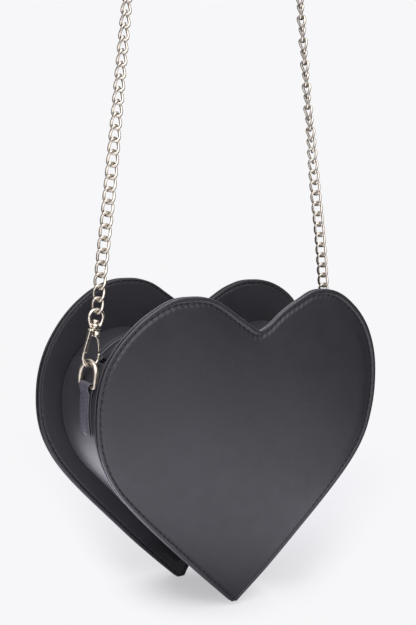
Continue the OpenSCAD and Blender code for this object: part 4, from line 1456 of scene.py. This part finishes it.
    # painted shade: the glow dims towards the back
    front = nt.nodes.new("ShaderNodeMath")
    front.operation = "MULTIPLY"
    nt.links.new(value_range(nt, depth.outputs["Y"], -0.10, 0.22, 1.0, 0.22), front.inputs[0])
    nt.links.new(dim_right.outputs[0], front.inputs[1])
    left = nt.nodes.new("ShaderNodeVectorMath")
    left.operation = "DISTANCE"
    nt.links.new(mp.outputs["Vector"], left.inputs[0])
    left.inputs[1].default_value = (-0.27, -0.35, 0.0)
    two = nt.nodes.new("ShaderNodeMath")
    two.operation = "ADD"
    nt.links.new(front.outputs[0], two.inputs[0])
    nt.links.new(value_range(nt, left.outputs["Value"], 0.08, 0.44, BOUNCE_LEFT, 0.0), two.inputs[1])
    side_d = nt.nodes.new("ShaderNodeVectorMath")
    side_d.operation = "DISTANCE"
    nt.links.new(mp.outputs["Vector"], side_d.inputs[0])
    side_d.inputs[1].default_value = (-0.095, -0.05, 0.0)
    three = nt.nodes.new("ShaderNodeMath")
    three.operation = "ADD"
    nt.links.new(two.outputs[0], three.inputs[0])
    nt.links.new(value_range(nt, side_d.outputs["Value"], 0.02, 0.11, BOUNCE_SIDE, 0.0), three.inputs[1])
    off = nt.nodes.new("ShaderNodeVectorMath")
    off.operation = "DISTANCE"
    nt.links.new(mp.outputs["Vector"], off.inputs[0])
    off.inputs[1].default_value = (-0.85, -0.15, 0.0)
    nt.links.new(calc("ADD", three.outputs[0], value_range(nt, off.outputs["Value"], 0.15, 0.55, BOUNCE_WIDE, 0.0)), pools.inputs[0])
    nt.links.new(value_range(nt, behind.outputs["Value"], 0.03, 0.15, BOUNCE_BACK, 0.0), pools.inputs[1])
    nt.links.new(pools.outputs[0], shade.inputs[0])
    # painted shade: the glow is dimmer close to the bag
    nt.links.new(value_range(nt, r, 0.0, 0.18, 0.32, 1.0), shade.inputs[1])
    nt.links.new(shade.outputs[0], bounce.inputs["Strength"])
    lp = nt.nodes.new("ShaderNodeLightPath")
    both = nt.nodes.new("ShaderNodeMixShader")
    nt.links.new(lp.outputs["Is Camera Ray"], both.inputs["Fac"])
    nt.links.new(bounce.outputs[0], both.inputs[1])
    nt.links.new(seen.outputs[0], both.inputs[2])
    nt.links.new(both.outputs[0], nt.nodes["Material Output"].inputs["Surface"])
    me.materials.append(mat)
    return ob


FLOOR_LO, FLOOR_HI = (0.605, 0.605, 0.613, 1), (0.615, 0.615, 0.623, 1)
# strengths of the painted shadows under and behind the bag and of the painted pools of bounce light the paper glows
# with
SHADOW, BOUNCE_NEAR, BOUNCE_FAR, BOUNCE_BACK, BOUNCE_LEFT, BOUNCE_SIDE = 0.55, 2.6, 0.04, 2.75, 1.75, 1.9
SHADE_BACK, BOUNCE_WIDE = 0.38, 3.2
# painted shade on the glow towards the right: where it starts, where it is full, and the level left
BOUNCE_DIM_RIGHT = 0.11, 0.19, 0.06
floor()


def area(name, loc_mm, target_mm, size, power, color=(1, 1, 1)):
    ld = bpy.data.lights.new(name, "AREA")
    ld.shape = "RECTANGLE"
    ld.size, ld.size_y = size
    ld.energy = power
    ld.color = color
    ob = bpy.data.objects.new(name, ld)
    bpy.context.scene.collection.objects.link(ob)
    p, q = part(loc_mm), part(target_mm)
    ob.location = p
    ob.rotation_euler = (p - q).to_track_quat("Z", "Y").to_euler()
    return ob


area("key", (-500, -300, 1100), (0, 0, 110), (0.9, 0.9), 7.0)
area("fill", (700, -900, 700), (0, 0, 110), (1.0, 1.0), 2.0)
area("rim", (200, 900, 900), (0, 0, 150), (1.0, 0.8), 3.0)

# (direction, where it starts, where it is full, strength) and the level all round
LIGHTS = [((0.62, 0.78, 0.10), 0.60, 0.94, 1.05), ((-0.2, -0.1, 1.0), 0.55, 0.88, 1.0), ((-0.93, -0.25, 0.28), 0.80, 0.96, 1.2), ((-0.05, -0.85, 0.52), 0.82, 0.96, 2.2), ((-0.45, -0.88, 0.12), 0.84, 0.97, 0.9)]
ROOM_BASE = 0.17
world = bpy.data.worlds.new("studio")
bpy.context.scene.world = world
world.use_nodes = True
nt = world.node_tree
bg = nt.nodes["Background"]
bg.inputs["Color"].default_value = ROOM
bg.inputs["Strength"].default_value = 1.0
room = nt.nodes.new("ShaderNodeBackground")
room.inputs["Color"].default_value = (0.945, 0.92, 1.03, 1.0)
way = nt.nodes.new("ShaderNodeTexCoord").outputs["Generated"]


def lobe(direction, lo, hi, level):
    """Light coming from round one direction of the room."""
    dot = nt.nodes.new("ShaderNodeVectorMath")
    dot.operation = "DOT_PRODUCT"
    dot.inputs[1].default_value = Vector(direction).normalized()
    nt.links.new(way, dot.inputs[0])
    return value_range(nt, dot.outputs["Value"], lo, hi, 0.0, level)


total = None
for direction, lo, hi, level in LIGHTS:
    out = lobe(direction, lo, hi, level)
    if total is None:
        total = out
    else:
        ad = nt.nodes.new("ShaderNodeMath")
        ad.operation = "ADD"
        nt.links.new(total, ad.inputs[0])
        nt.links.new(out, ad.inputs[1])
        total = ad.outputs[0]
base = nt.nodes.new("ShaderNodeMath")
base.operation = "ADD"
nt.links.new(total, base.inputs[0])
turn = nt.nodes.new("ShaderNodeVectorMath")
turn.operation = "DOT_PRODUCT"
turn.inputs[1].default_value = (0.69, 0.72, 0.0)
nt.links.new(way, turn.inputs[0])
nt.links.new(value_range(nt, turn.outputs["Value"], -0.11, 0.04, ROOM_BASE, ROOM_BASE * 0.2), base.inputs[1])
nt.links.new(base.outputs[0], room.inputs["Strength"])
lp = nt.nodes.new("ShaderNodeLightPath")
mix = nt.nodes.new("ShaderNodeMixShader")
nt.links.new(lp.outputs["Is Camera Ray"], mix.inputs["Fac"])
nt.links.new(room.outputs[0], mix.inputs[1])
nt.links.new(bg.outputs[0], mix.inputs[2])
nt.links.new(mix.outputs[0], nt.nodes["World Output"].inputs["Surface"])
bpy.context.scene.view_settings.view_transform = "Standard"
bpy.context.scene.view_settings.look = "None"
